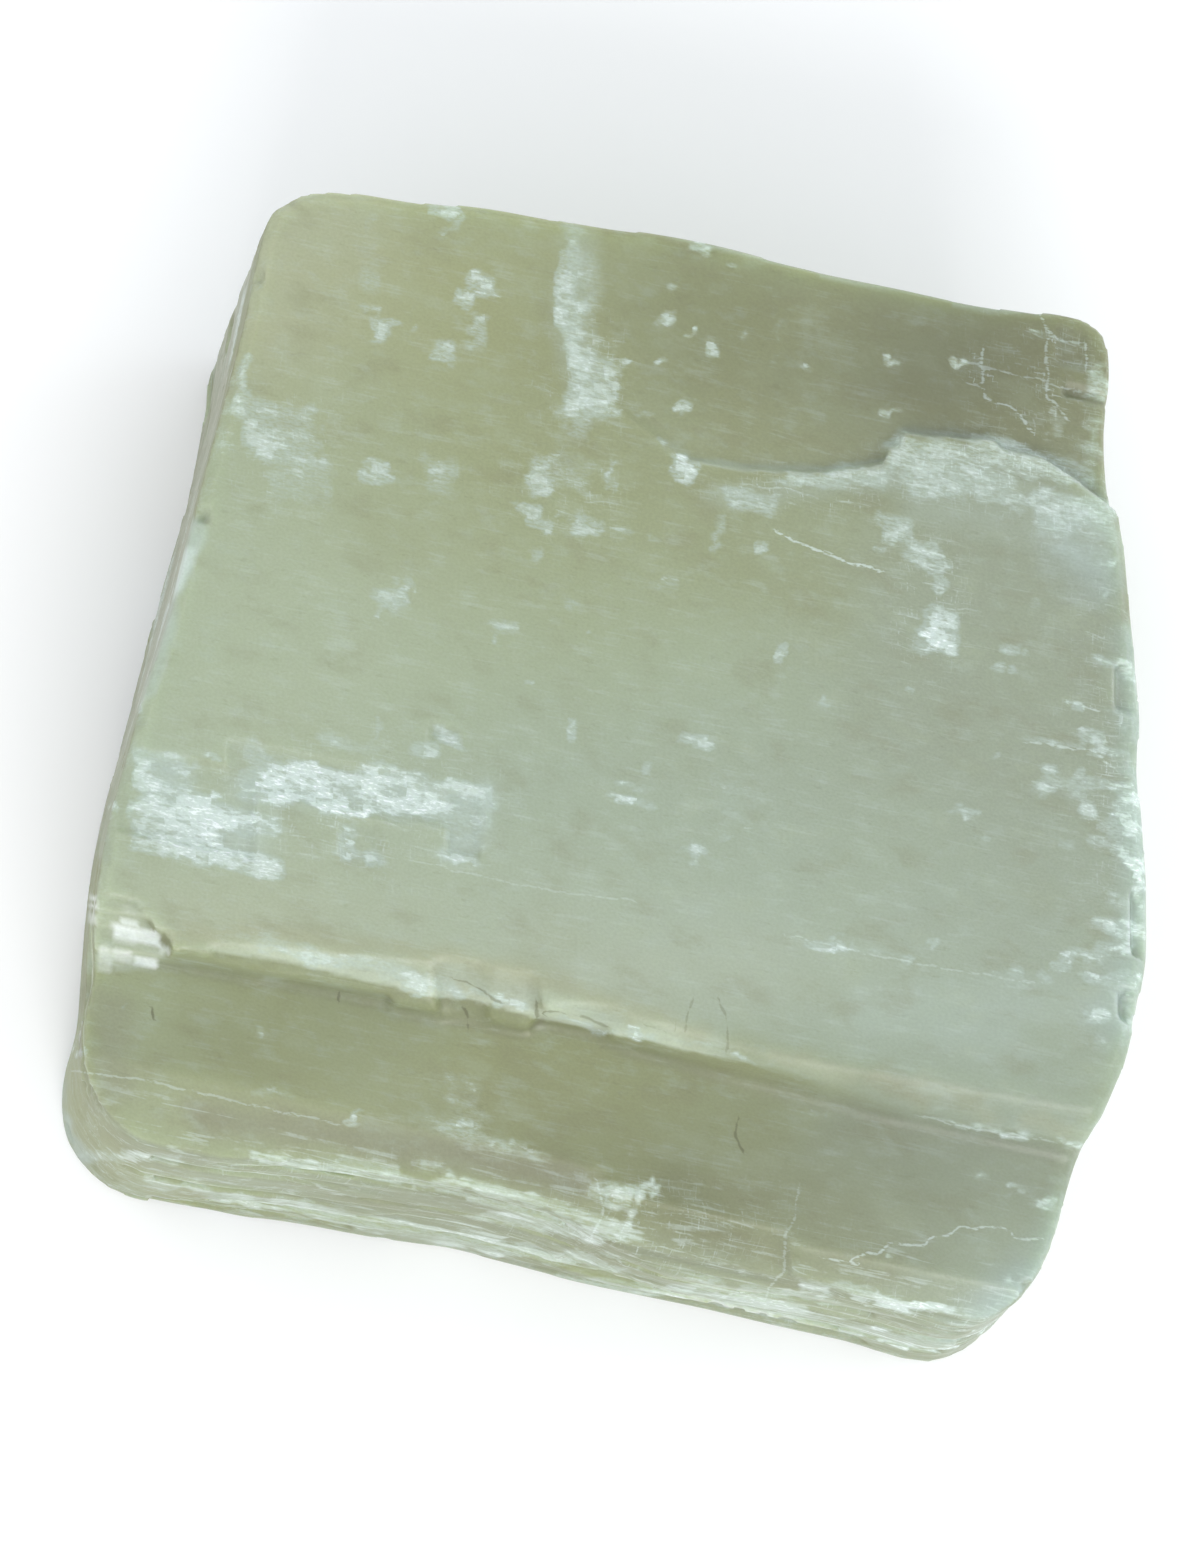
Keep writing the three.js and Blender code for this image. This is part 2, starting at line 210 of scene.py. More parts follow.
# How the grain drives the material: where an effect starts and is full on its field, and then, where
# it isn't from 0 to 1, how strong it is at both. Pairs named SHARES are on top and in the front layers.
ON_WISPS = (0.42, 0.58)
NET_ON_FIBRES = (0.40, 0.56, 0.1, 0.7)
RAGGED_BLOCKS, RAGGED_WISPS, VEIL_LIFT = 0.22, 0.7, 0.5
PLATE_LEVELS = (0.2, 0.8, 0.05, 0.95)
HAZE_BY_VEIL, HAZE_BY_WISPS = 1.1, 0.5
HAZE_FROM, HAZE_EDGE, HAZE_SHARES = (0.38, 0.85), (0.02, 0.2), (0.62, 0.45)
THREADS = (0.36, 0.60, 0.40, 1)
FRAGMENTS_FROM, FRAGMENTS_EDGE = (0.78, 0.96), (0.03, 0.25)
FRAGMENTS_BY_BRIGHT = (0.2, 1, 0.38, 0.82)
FLASHES_FROM, FLASHES_ON_FIBRES, FLASH_SHARE = (0.94, 1.08), (0.48, 0.60), 0.85
CRACK_SHARE = 0.85
LINE_EDGE, LINE_THINNED, LINE_BROKEN = (0.7, 0.2), (0.58, 0.38, 0, 0.45), (0.36, 0.5, 0.3, 1)
POLISHED = (0.3, 0.7, 0.30, 0.44)
TRACE_LINE, TRACE_SHARES = (0.030, 0.006), (0.08, 0.32)
GRAIN_TONES = (0.3, 0.7, 0.965, 1.035)
LARGE_MOTTLES = [
    ("clouds", (0.35, 0.70, 0, 0.22), MILKY),
    ("clouds", (0.25, 0.48, 0.25, 0), OLIVE),
    ("patches", (0.48, 0.30, 0, 0.26), BROWN),
    ("patches", (0.54, 0.72, 0, 0.25), SOFT_GREEN),
]
SMALL_MOTTLES = [
    ("wisps", (0.50, 0.74, 0, 0.20), HAZE),
    ("fibres", (0.42, 0.28, 0, 0.14), DEEP),
]
SIDE_LAYERS = [((0.52, 0.64), 0.4, HAZE), ((0.46, 0.38), 0.3, PURPLE)]

# Colour zones, as soft blobs on the picture: colour, x, y, half width, half height, weight.
ZONES = [
    (MILKY, 0, 6, 60, 60, 0.6),
    (OLIVE, 6, 34, 26, 12, 2.2),
    (SOFT_OLIVE, -8, 31, 16, 14, 2.6),
    (BROWN, 26, 31, 17, 8, 2.6),
    (PALE, -23, 39, 7, 8, 5),
    (STRAW, -9, 36, 12, 8, 3),
    (SOFT_GREEN, -27, 12, 13, 16, 2.2),
    (SOFT_GREEN, -18, -9, 20, 5, 2.2),
    (SAGE, 8, -8, 30, 10, 1.8),
    (SAGE, 30, -16, 14, 12, 1.2),
    (OLIVE, 11, 16, 6, 4, 0.7),
    (GREY, 33, 12, 12, 9, 2.4),
    (GREY, 30, 0, 12, 9, 1.6),
    (GREY, 34, -14, 9, 7, 0.8),
    (PALE, -27, -11, 12, 4, 1.3),
    (PALE, 0, -14, 18, 4, 1),
    (HAZE, 4, -13, 18, 4.5, 0.6),
]
SHELF_ZONES = [
    (SOFT_OLIVE, 0, -26, 60, 30, 2),
    (OLIVE, 0, -24, 18, 5, 2),
    (GREY, 27, -30, 14, 10, 2.6),
    (MILKY, -33, -28, 10, 5, 0.8),
    (MILKY, -33, -18.5, 8, 4, 0.7),
    (SAGE, 31, -38, 8, 8, 4),
    (BROWN, 12, -33, 10, 4, 1.2),
    (PALE, -12, -25, 12, 3, 0.5),
]

# Where the pale top ends above the shelf, from left to right on the picture.
STEP_EDGE = [(-45, -14.8), (-33.3, -14.7), (-32.7, -12.9), (-28.5, -13.3), (-22.4, -14.2), (-16.8, -15.6),
             (-13.1, -16.5), (-9.7, -16.8), (-5, -18.1), (0.9, -19.4), (5.8, -20.4), (12, -21.8),
             (17.7, -23.2), (23.2, -25.4), (28, -26.5), (32.7, -27.3), (36.8, -27.9), (45, -29.9)]

# Painted highlights on the faces of the stack of small broken blocks at the step's left end, and a few glints
# on the left strip: x, y, length, width, strength.
STACK_GLINTS = [
    (-34.8, -12, 3.6, 1.2, 0.75), (-35.6, -12, 1.6, 1.1, 0.35), (-35.3, -11, 1.3, 0.35, 0.7),
    (-35.2, -10.1, 1.1, 0.35, 0.35), (-34.1, -13.95, 1.8, 0.6, 0.8), (-35.8, -13.5, 1.5, 0.9, 0.45),
    (-37.1, -13.7, 0.9, 2.2, 0.4), (-32.6, -13.1, 0.7, 0.6, 0.5), (-33.5, -12.6, 1, 0.4, 0.6),
    (-38, -9.2, 0.7, 0.3, 0.6), (-38, -9.8, 0.7, 0.3, 0.5), (-38.1, -10.7, 0.6, 0.8, 0.4),
]

STACK_SOFT = 0.12

# Where the block is clear enough to see into: x, y, half width, half height, amount.
CLEAR_PLACES = [
    (27, 31, 15, 8, 0.34),
    (8, 34, 14, 8, 0.18),
    (8, -30, 34, 8, 0.22),
    (-25, -20, 16, 5, 0.16),
]

# Where the veils show painted glints, flashing white instead of staying hazy: x, y, half width, half height,
# amount.
BRIGHT_PLACES = [
    (-23, -2.5, 15, 6, 1),
    (-35.5, -12.6, 3.5, 3.5, 1),
    (39.5, -5, 3, 14, 0.8),
    (37, -14.5, 5, 4, 0.85),
    (-9, -16.3, 8, 2, 0.7),
    (3, -19.3, 6, 1.6, 0.8),
    (24, -41.5, 9, 3, 0.9),
    (25.5, 10.9, 2.5, 2.5, 0.9),
    (2.3, -1.8, 2, 1.5, 0.9),
    (-9, 36.5, 2.5, 2.5, 0.7),
    (6, 23.1, 2, 2, 0.8),
    (17.4, -12.9, 3, 1.5, 0.8),
]
LEAST_BRIGHT = 0.3

# Where a fine net of cracks shows: x, y, half width, half height, amount.
NET_PLACES = [
    (34, 29.5, 7, 6, 0.55),
    (29.5, 22.6, 9, 2.4, 1),
    (36, 20, 5, 2.5, 0.8),
    (15, 21.6, 7, 1.6, 0.7),
    (38.5, 2, 3, 12, 0.7),
    (2, -34, 12, 3.5, 0.7),
    (-22, -30.5, 14, 2, 0.45),
    (23, -40.5, 10, 2.5, 0.7),
    (-22, -2.5, 14, 5, 0.6),
    (-1, 30, 3, 5, 0.5),
    (-3, 21, 5, 3, 0.4),
    (-24, 25, 5, 5, 0.4),
    (25, 13, 3, 5, 0.6),
]

# Veils: whitish rhombs on the picture: x, y, length, width, strength.
VEILS = [
    # back left
    (-11.5, 42.2, 2.6, 1.2, 0.9), (-10.9, 40.9, 1.6, 1, 0.45), (-17.2, 41.5, 1, 1.4, 0.4),
    (-21.9, 37.5, 1.5, 0.5, 0.35), (-25.8, 36.6, 1, 0.6, 0.35), (-17.4, 36.9, 2.2, 1.8, 0.35),
    (-17.1, 34.9, 1.9, 0.8, 0.5), (-16.1, 33.4, 1.5, 1.5, 0.85), (-13.9, 33.6, 1.2, 0.8, 0.6),
    (-8.7, 36.9, 2.1, 1.5, 0.9), (-10.3, 35.7, 1.2, 1, 0.85), (-9.1, 33.4, 1.9, 3, 0.5),
    (-11.4, 31.8, 1.8, 1.8, 0.65), (-26.8, 30, 1, 3.2, 0.65), (-26.8, 27.8, 1.2, 1.6, 1),
    (-26.1, 25.9, 0.8, 2.1, 0.95), (-25.3, 24.5, 1.4, 1, 1), (-23.6, 25.9, 5.2, 4.4, 0.42),
    (-27, 26.6, 4.4, 7.4, 0.22), (-22.5, 22.1, 5.2, 3.8, 0.35), (-16.9, 22.9, 1.6, 1.8, 0.7),
    (-15.9, 22.8, 0.6, 1.8, 0.6), (-12, 22.5, 3.4, 3, 0.38), (-13.5, 25.9, 1.6, 3.8, 0.2),
    # the upright streak at the back
    (-2.1, 39.8, 1.8, 4.4, 0.4), (-2.8, 35.7, 1.2, 4.4, 0.75), (-2.2, 37, 0.8, 0.6, 1),
    (-1.9, 33.4, 1.6, 4.4, 0.5), (-1.1, 35.7, 2.7, 7.4, 0.3), (-1.5, 31, 1.5, 2.2, 0.7),
    (-0.6, 29.3, 3.6, 4.2, 0.72), (0.9, 30.6, 2.7, 1, 0.6), (-1.8, 26.8, 2.2, 3.2, 0.5),
    (-4.5, 22.4, 1.5, 2.7, 0.85), (-2.2, 22.9, 3.8, 3, 0.35), (0.6, 22.5, 0.6, 2.5, 0.6),
    (-6.1, 20.1, 1, 0.9, 0.8), (-5, 19.5, 1.2, 1.9, 0.8), (-4.1, 18.6, 1, 1, 0.7),
    (-2.9, 19.4, 1, 0.5, 0.6), (-1.1, 18.8, 1.9, 1.5, 0.65), (3, 18.2, 5.2, 0.6, 0.4),
    (6, 23.1, 1.9, 1.9, 1), (6, 27.8, 1, 1, 1), (6.8, 33.4, 0.6, 0.6, 0.9),
    (5.3, 34.4, 1, 0.9, 0.6), (8.4, 32.1, 1.5, 1, 0.85), (7.6, 39.5, 1.7, 0.9, 0.95),
    (10.1, 37.9, 0.8, 0.8, 0.6), (4.9, 36.4, 0.9, 0.8, 0.5), (4.5, 31.2, 1.4, 0.5, 0.65),
    (1.9, 31.3, 0.8, 0.5, 0.7), (3, 27, 1.8, 0.6, 0.4), (10.5, 33.3, 0.6, 0.6, 0.5),
    (13.1, 33.4, 1, 4.4, 0.25), (15.7, 30.6, 0.9, 0.8, 0.4), (4.5, 25.2, 0.8, 0.6, 0.4),
    # the terrace's edge
    (11.2, 20.6, 4.6, 1.7, 0.62), (9.9, 20.8, 0.6, 0.5, 0.9), (15.7, 22.2, 4.6, 1.2, 0.6),
    (19.5, 22.3, 4.6, 1.7, 0.6), (8.6, 18.4, 0.8, 3, 0.5), (24.9, 23.7, 6.2, 3, 0.72),
    (30, 24.1, 4.6, 2.2, 0.72), (34.5, 22.9, 5.2, 2.2, 0.55), (28.9, 22.2, 4.6, 1.6, 0.5),
    (35.6, 20.3, 6.8, 1.4, 0.65), (30, 20.8, 15, 0.8, 0.6), (24.9, 21.4, 4.6, 1, 0.65),
    (35.3, 18.8, 6.8, 2.2, 0.5), (36.2, 16.2, 4.6, 2.2, 0.38), (22.2, 18.6, 2, 2.2, 0.65),
    (24, 16.5, 3, 2.2, 0.68), (25.3, 14.7, 1.2, 2.2, 0.6), (25.5, 10.9, 2.6, 3.3, 0.95),
    (24.1, 10.2, 2.2, 2.2, 0.38), (30.9, 9.4, 1.7, 1, 0.85), (30.4, 8.1, 0.9, 0.8, 0.7),
    (32.7, 12.8, 1, 1.5, 0.45), (37.8, 13.6, 1, 0.9, 0.65), (38.3, 16.1, 1.2, 0.6, 0.6),
    # back right
    (37.2, 29, 2.2, 1.5, 0.65), (37.2, 30.3, 1.2, 0.8, 0.7), (34.2, 26.4, 0.9, 2.2, 0.4),
    (36.8, 25.2, 1.5, 3, 0.4), (32.7, 33.1, 0.9, 0.6, 0.5), (21.8, 31.1, 1, 0.6, 0.6),
    (21.8, 27.3, 1.9, 0.5, 0.55), (26.9, 30.9, 0.5, 0.6, 0.8),
    # the middle
    (13.7, 9.1, 0.8, 0.9, 1), (13.6, 7.5, 0.6, 0.4, 0.7), (16.8, 5.5, 0.8, 0.8, 0.8),
    (12.2, 17, 0.8, 0.9, 0.8), (21.1, 17, 0.5, 0.6, 0.8), (7, 2.6, 3, 0.7, 0.95),
    (-2, 3.1, 0.7, 1.9, 0.7), (3.8, 0.6, 0.8, 1, 0.7), (2, -0.7, 2.2, 0.5, 0.5),
    (2.3, -1.8, 3, 0.4, 1), (7.4, -6.1, 1, 1.9, 0.8), (7, -5.6, 2.2, 0.6, 0.45),
    (9, -4.7, 1.2, 0.6, 0.45), (10.1, -1.8, 3.8, 4.6, 0.25), (-5.5, 7, 0.9, 0.5, 0.7),
    (-8, 10.2, 0.6, 1.2, 0.65), (-7.1, 11.1, 2.2, 0.8, 0.4), (-4.7, 16.5, 1, 1, 0.5),
    (-2.2, 12.8, 1.2, 1, 0.4), (4.9, 14.3, 2.2, 1.2, 0.3), (-0.8, 10.8, 0.8, 0.5, 0.5),
    (-15.4, 13.2, 2.2, 1.2, 0.6), (-16.6, 12.6, 0.9, 2.2, 0.4), (-14.6, 14.3, 0.9, 1.8, 0.5),
    (27.2, -2.7, 1.9, 0.8, 0.75), (28.9, -4.8, 0.9, 0.6, 0.6), (30, 1.5, 0.6, 0.5, 0.8),
    (23.2, 6.3, 0.8, 0.6, 0.9), (23.5, -14, 0.8, 0.5, 0.9), (24.8, -12.7, 0.6, 0.6, 0.7),
    (17.4, -12.9, 1.9, 0.5, 1), (16.1, -12.6, 2.2, 0.5, 0.7), (17.8, -12.2, 1.2, 0.4, 0.7),
    (20.2, -13.1, 6, 0.5, 0.4),
    # the large flake scar
    (-34.9, 0.4, 1, 2.2, 1), (-32.6, 0.8, 4.5, 1.7, 0.6), (-29, 1.4, 1.4, 0.4, 1),
    (-33.8, -1.5, 2, 2.2, 0.9), (-31.9, -4.1, 6.8, 3.8, 0.92), (-31.5, -1.8, 6, 2.2, 0.72),
    (-27.8, -3.3, 4.5, 2.2, 0.85), (-25.1, -3.8, 2.2, 1.2, 0.7), (-30, -5.6, 5.2, 1.4, 1),
    (-26.2, -6.6, 5, 1.5, 1), (-24.8, -0.7, 3.8, 3, 0.6), (-22.5, 0, 4.5, 1.7, 1),
    (-19.5, 0, 3.8, 1, 0.85), (-22.5, -1.6, 6.8, 0.6, 1), (-19.1, -2.4, 4.5, 1, 1),
    (-15, -2.2, 5.2, 1, 1), (-15.4, 0, 4.5, 1.5, 0.72), (-18, -1.1, 9, 2.2, 0.65),
    (-12.8, -1.5, 3.8, 2.2, 0.65), (-12, -2.7, 1.7, 1.2, 0.95), (-19.1, -4.8, 1.5, 2.6, 0.5),
    (-17.6, -6.1, 2.7, 0.8, 0.85), (-10.1, -1.5, 3.8, 1.7, 0.6), (-9.9, -0.8, 3.8, 0.4, 0.9),
    (-8.5, -2.6, 0.5, 2.2, 0.8), (-10.1, -4.1, 3, 3, 0.55), (-10.4, -6.1, 2.6, 0.9, 1),
    (-11.5, 3, 2.6, 0.8, 1), (-11.1, 2.4, 2.2, 0.5, 1), (-13.1, 1.9, 2.2, 1.2, 0.7),
    (-16.7, 3.4, 0.6, 1.7, 0.6), (-18.8, 2.3, 6, 1, 0.4), (-25.5, 1.5, 2.2, 2.2, 0.42),
    # glints down the left side
    (-34.9, 5.2, 1, 0.8, 1), (-36.6, -2.4, 1, 0.6, 1), (-33.1, 13.2, 1, 2.2, 0.7),
    # the right edge
    (38.6, 8.3, 4.5, 0.8, 0.65), (39.8, 7.2, 2.2, 0.6, 0.7), (36.8, 5.1, 3.8, 0.4, 0.6),
    (37.1, 3, 1.7, 1.5, 0.6), (38.3, 1.9, 2.2, 0.8, 0.8), (38.9, 3.8, 0.6, 1.7, 0.6),
    (33, 2.5, 3.8, 0.5, 0.42), (35.6, 2.1, 5.2, 0.4, 0.5), (33.6, 0.5, 1.5, 0.6, 0.9),
    (32.6, -1.1, 2.2, 1.5, 0.35), (34.5, -0.7, 3.8, 1.2, 0.42), (38.3, -0.7, 5.2, 1.2, 0.7),
    (36.5, -2.6, 1.5, 0.8, 1), (39.8, -1.8, 2.2, 1.5, 0.85), (39.4, -3.7, 3, 1.8, 0.85),
    (38.3, -5.2, 3.8, 0.9, 0.6), (34.9, -5, 1.4, 0.8, 0.5), (35.7, -6.8, 0.9, 0.5, 0.7),
    (39.9, -6.3, 1.2, 1.8, 0.9), (40.5, -8.6, 0.8, 4.5, 0.9), (39, -9.3, 2.2, 0.8, 0.5),
    (39, -11.4, 3.8, 1, 1), (40.1, -12, 2.2, 1, 0.9), (38.3, -12.9, 3, 0.8, 0.8),
    (36.4, -13.5, 3, 1, 0.5), (34.5, -14.2, 1, 1.2, 0.7), (37.1, -15.3, 2.2, 0.8, 0.8),
    (39.4, -15.7, 2.2, 2.2, 0.6), (33.4, -15.2, 1.2, 0.9, 0.6), (31.1, -14.7, 1.5, 1, 0.42),
    (30.4, -15.3, 4.5, 1.2, 0.3), (37.4, -17.8, 1.5, 1, 1), (39.8, -18.3, 1.2, 2.2, 0.6),
    (37.9, -20.2, 2.2, 0.8, 0.4),
    # the splintered slope and the step
    (-18, -14.2, 9.5, 1.4, 0.45), (-22.5, -13.5, 7.5, 0.7, 0.4), (-12.8, -15.5, 4.5, 1, 0.45),
    (-14.1, -16, 2, 0.7, 1), (-9.6, -16.3, 3, 0.5, 0.5), (-6.6, -17, 3, 0.9, 0.7),
    (-0.9, -18.7, 4.8, 0.5, 0.6), (3.4, -19.4, 3, 0.8, 0.6), (6.8, -20, 2.8, 0.5, 0.4),
    (-26.2, -12, 6.8, 0.8, 0.3), (27.8, -26.2, 4.5, 0.4, 0.65), (31.1, -27, 3, 0.4, 0.7),
    (35.6, -27.6, 2.2, 0.5, 0.7), (10.5, -21.3, 1.5, 0.4, 0.8),
    # the shelf
    (-25.4, -19, 0.6, 0.6, 0.6), (16, -25.3, 0.9, 0.5, 0.7), (-18.5, -25.6, 0.9, 0.9, 0.85),
    (-10.1, -24, 3.8, 3.8, 0.28), (-12, -26.2, 6, 1.5, 0.3), (-9.4, -27.4, 4.5, 1.8, 0.3),
    (-6, -28.1, 4.5, 1, 0.35), (-24, -24, 4.5, 0.8, 0.3), (-12.8, -29.2, 1, 1, 0.4),
    (-35.6, -17.2, 0.6, 0.5, 0.7), (-39.2, -20.8, 0.5, 0.5, 0.9), (30.8, -30.7, 1, 0.5, 1),
    (31.5, -31.5, 1.5, 0.3, 0.7), (33.4, -32.2, 2.2, 0.9, 0.9), (28.9, -30.2, 1, 0.5, 0.5),
    (21.8, -36, 0.9, 0.6, 0.8), (30.8, -38, 1.5, 1, 0.5), (28.5, -40.8, 3, 2.2, 0.38),
    (1.1, -31.5, 2.2, 1.5, 0.7), (8.4, -37.5, 1, 1.5, 0.7), (8.2, -38, 2.2, 0.6, 0.7),
]

# Cracks that catch the light as thin lines on the picture: points, width, strength.
CRACKS = [
    ([(28.7, 31.9), (28.7, 28.5), (29.6, 28), (30.8, 27.8), (31.9, 26.5), (32.5, 25.8)], 0.24, 0.7),
    ([(33, 34.5), (33.5, 33.4), (33.5, 28.2)], 0.24, 0.6),
    ([(33.5, 33.6), (34.5, 32.7), (36.4, 32.3), (36.4, 30.6)], 0.24, 0.6),
    ([(27, 31.2), (30, 30.4), (33.4, 29.5), (36.8, 28.5)], 0.22, 0.5),
    ([(27.4, 29.5), (28.7, 28.9)], 0.2, 0.5),
    ([(33.8, 28.2), (34.9, 26.8)], 0.24, 0.6),
    ([(13.3, 18.2), (15.2, 17.2), (21, 15.3)], 0.26, 0.8),
    ([(16.5, -36.2), (19.1, -36.5)], 0.22, 0.7),
    ([(19.1, -36), (21, -35.7), (21.8, -35), (24.4, -35.3), (24.8, -34.7), (26.2, -34.3),
      (27, -33.9), (28.9, -33.9), (30.8, -34.1)], 0.24, 0.7),
    ([(31.1, -34.6), (33.2, -34.8)], 0.22, 0.6),
    ([(35.2, 5.5), (37.5, 4.9)], 0.22, 0.6),
    ([(32.2, 2.5), (37.1, 1.8), (38.6, 0.4)], 0.22, 0.5),
    ([(-39.4, -22.1), (-34.5, -22.8), (-30, -23.8), (-19.5, -26.2)], 0.22, 0.4),
    ([(-14, -6.4), (-5, -8.4), (2.5, -9.4)], 0.2, 0.3),
    ([(14, -12), (24, -14.2), (33, -15.6)], 0.2, 0.35),
    ([(24, -25.5), (28, -26.5), (32.7, -27.2), (36.3, -27.8)], 0.24, 0.45),
    ([(14.9, -30.9), (14.5, -33.5), (13.9, -34.4), (13.7, -37.4), (12.6, -38.6), (12.4, -39.4)], 0.25, 0.4),
    ([(12.4, -39.4), (10.6, -38.6), (8.4, -39.4)], 0.25, 0.45),
    ([(-0.2, -30.4), (0.3, -33), (-0.6, -34.6)], 0.25, 0.5),
]

# Longer pale bands on the picture, mostly along the front face: points, width, strength.
STREAKS = [
    ([(4, -30.5), (2.8, -32.4), (1.3, -34.4)], 0.5, 0.75),
    ([(-0.8, -31.2), (0.6, -31)], 0.9, 0.6),
    ([(0.8, -31.4), (3.4, -31)], 0.35, 0.6),
    ([(-38.2, -28.2), (-32.2, -28.8)], 0.8, 0.5),
    ([(-26.2, -28.5), (-10.5, -30.9)], 0.8, 0.55),
    ([(-19.5, -28.7), (-15, -29.6)], 0.6, 0.45),
    ([(-12, -29.7), (1.5, -33.7)], 0.35, 0.75),
    ([(-9, -30.9), (3, -34.5)], 0.35, 0.75),
    ([(-9.8, -31.6), (1.5, -34.8)], 0.45, 0.75),
    ([(-8.6, -33), (0, -34.7)], 0.6, 0.8),
    ([(-33.8, -30.3), (-20.2, -33)], 0.9, 0.55),
    ([(-22.5, -32.6), (-6, -35.6)], 1.2, 0.5),
    ([(-12, -34.8), (0, -36.5)], 1, 0.65),
    ([(-0.8, -36.3), (3, -37.2)], 0.6, 0.6),
    ([(-3, -37.8), (12, -39.3)], 1, 0.55),
    ([(3, -38.6), (15, -40.2)], 0.8, 0.7),
    ([(10.5, -38.6), (17.2, -39.3)], 0.6, 0.7),
    ([(15, -38.2), (20.2, -38.6)], 0.8, 0.6),
    ([(12, -40.2), (26.2, -42.9)], 0.8, 0.8),
    ([(18.8, -39.2), (26.2, -40.1)], 0.5, 0.6),
    ([(21, -39.3), (24.4, -40.1)], 0.6, 0.8),
    ([(20.2, -41.6), (24.8, -42.7)], 0.6, 0.9),
]

# Dust fibres and hairline cracks, dark: points, width, strength.
DARK_LINES = [
    ([(-10.1, -17.6), (-9.9, -18.7)], 0.3, 0.9),
    ([(10.4, -25.8), (10.1, -27), (10.7, -28.1)], 0.25, 0.7),
    ([(-19.5, -16.3), (-19.6, -16.7)], 0.25, 0.8),
    ([(-33.7, -17.6), (-33.5, -18.1)], 0.25, 0.8),
    ([(-11, -15.2), (-9.2, -15.9), (-7.4, -17)], 0.22, 0.5),
    ([(-3.8, -17.7), (-1.6, -18), (0.6, -18.8)], 0.22, 0.45),
    ([(3.4, -18.6), (4.8, -19.2), (5, -20)], 0.22, 0.4),
    ([(-4.8, -17.1), (-4.6, -18)], 0.35, 0.6),
    ([(6.8, -16.8), (6.4, -19.1)], 0.25, 0.35),
    ([(8.9, -16.8), (9.6, -19), (9.6, -20.6)], 0.25, 0.4),
]

# Soft stains on the picture, with bands of painted cool light on the right rim: colour, points, width, soft
# edge, strength.
STAINS_AND_LIGHT = [
    (TAN, [(-32.6, -12), (-25.5, -12), (-18.8, -12.7), (-11.3, -13.7), (-3, -15.7), (3, -18),
           (7.5, -19.5)], 1, 0.9, 0.4),
    (BROWN, [(-4.8, -17), (-4.5, -18.2)], 0.5, 0.3, 0.8),
    (TAN, [(2, -18.6), (2.4, -19.6)], 0.5, 0.4, 0.6),
    (TAN, [(-11, -15.9), (-8.8, -16.9)], 0.2, 0.3, 0.6),
    (OLIVE, [(10.5, -20.5), (19.5, -22.6)], 1.6, 1.4, 0.5),
    (PURPLE, [(-37, -17.5), (-36.6, -23)], 3, 1.6, 0.5),
    (PURPLE, [(-30, -25.6), (-20, -26.8), (-11, -28.2), (-2, -30.4)], 2, 1.3, 0.55),
    (DEEP, [(5.5, -31.5), (9, -34.5)], 4, 2.2, 0.3),
    (GREY, [(18, -26.5), (33, -30.5)], 5, 2.5, 0.5),
    (TAN, [(20.5, -22.6), (22.5, -23.6), (24.5, -24.6)], 1, 0.8, 0.35),
    (PALE, [(13, -21), (18.5, -22.4)], 0.8, 0.8, 0.35),
    (PALE, [(24, -23.2), (27.5, -24.4), (29, -25.6)], 1.2, 1, 0.35),
    (PALE, [(32, -25.8), (35.5, -26.6)], 0.9, 0.8, 0.4),
    (HAZE, [(-38, -28.6), (-26, -29.8), (-12, -31.8), (0, -34.6), (12, -38.2), (25, -41.8)],
     3, 1.6, 0.15),
    (DEEP, [(-37.5, -30.4), (-26.2, -33), (-14, -35), (0, -38.2), (20, -43)], 0.2, 0.5, 0.3),
    (PURPLE, [(-38.3, -16), (-38.2, -23), (-35.4, -28), (-30, -29)], 0.6, 1.2, 0.5),
    # Painted cool light: bluish bands along the right rim and the front-right corner, over pale fractures.
    (COOL, [(38.5, -29.5), (34.5, -37), (28, -43)], 1, 4, 0.55),
    (COOL, [(40.4, 9.5), (40.8, 3), (41.2, -6), (40.4, -13), (38.6, -18)], 1.2, 3, 0.38),
    (PURPLE, [(38, 33), (37.8, 23.5), (39.3, 18.5), (39.9, 12)], 0.4, 0.8, 0.7),
    (BROWN, [(0.5, 41), (8, 39.6), (26, 36)], 0.3, 0.7, 0.6),
    # More painted cool light on the right rim.
    (COOL, [(34.5, 17), (37.5, 15)], 2, 2.5, 0.3),
    (HAZE, [(22, 22.5), (30, 22), (37, 20)], 1.6, 1.6, 0.3),
    (HAZE, [(24, 20), (31, 19), (38, 18)], 1.2, 2, 0.3),
    (HAZE, [(9, 20.8), (15, 21.4), (21.5, 22)], 0.8, 1.2, 0.3),
    (HAZE, [(-33, 0), (-31, -3.6), (-26, -4.4)], 3.2, 1.8, 0.6),
    (HAZE, [(-26.5, -0.6), (-16, -1.6), (-9, -2)], 2.2, 1.4, 0.45),
    (HAZE, [(-8.6, -1), (-8.3, -4.6), (-11.6, -5.9)], 1, 0.6, 0.35),
    (HAZE, [(-1.6, 40), (-2, 32), (-0.8, 28)], 1.2, 1.6, 0.35),
    (HAZE, [(30, -19.5), (20, -17.5), (36, -17)], 1.5, 2.5, 0.3),
]
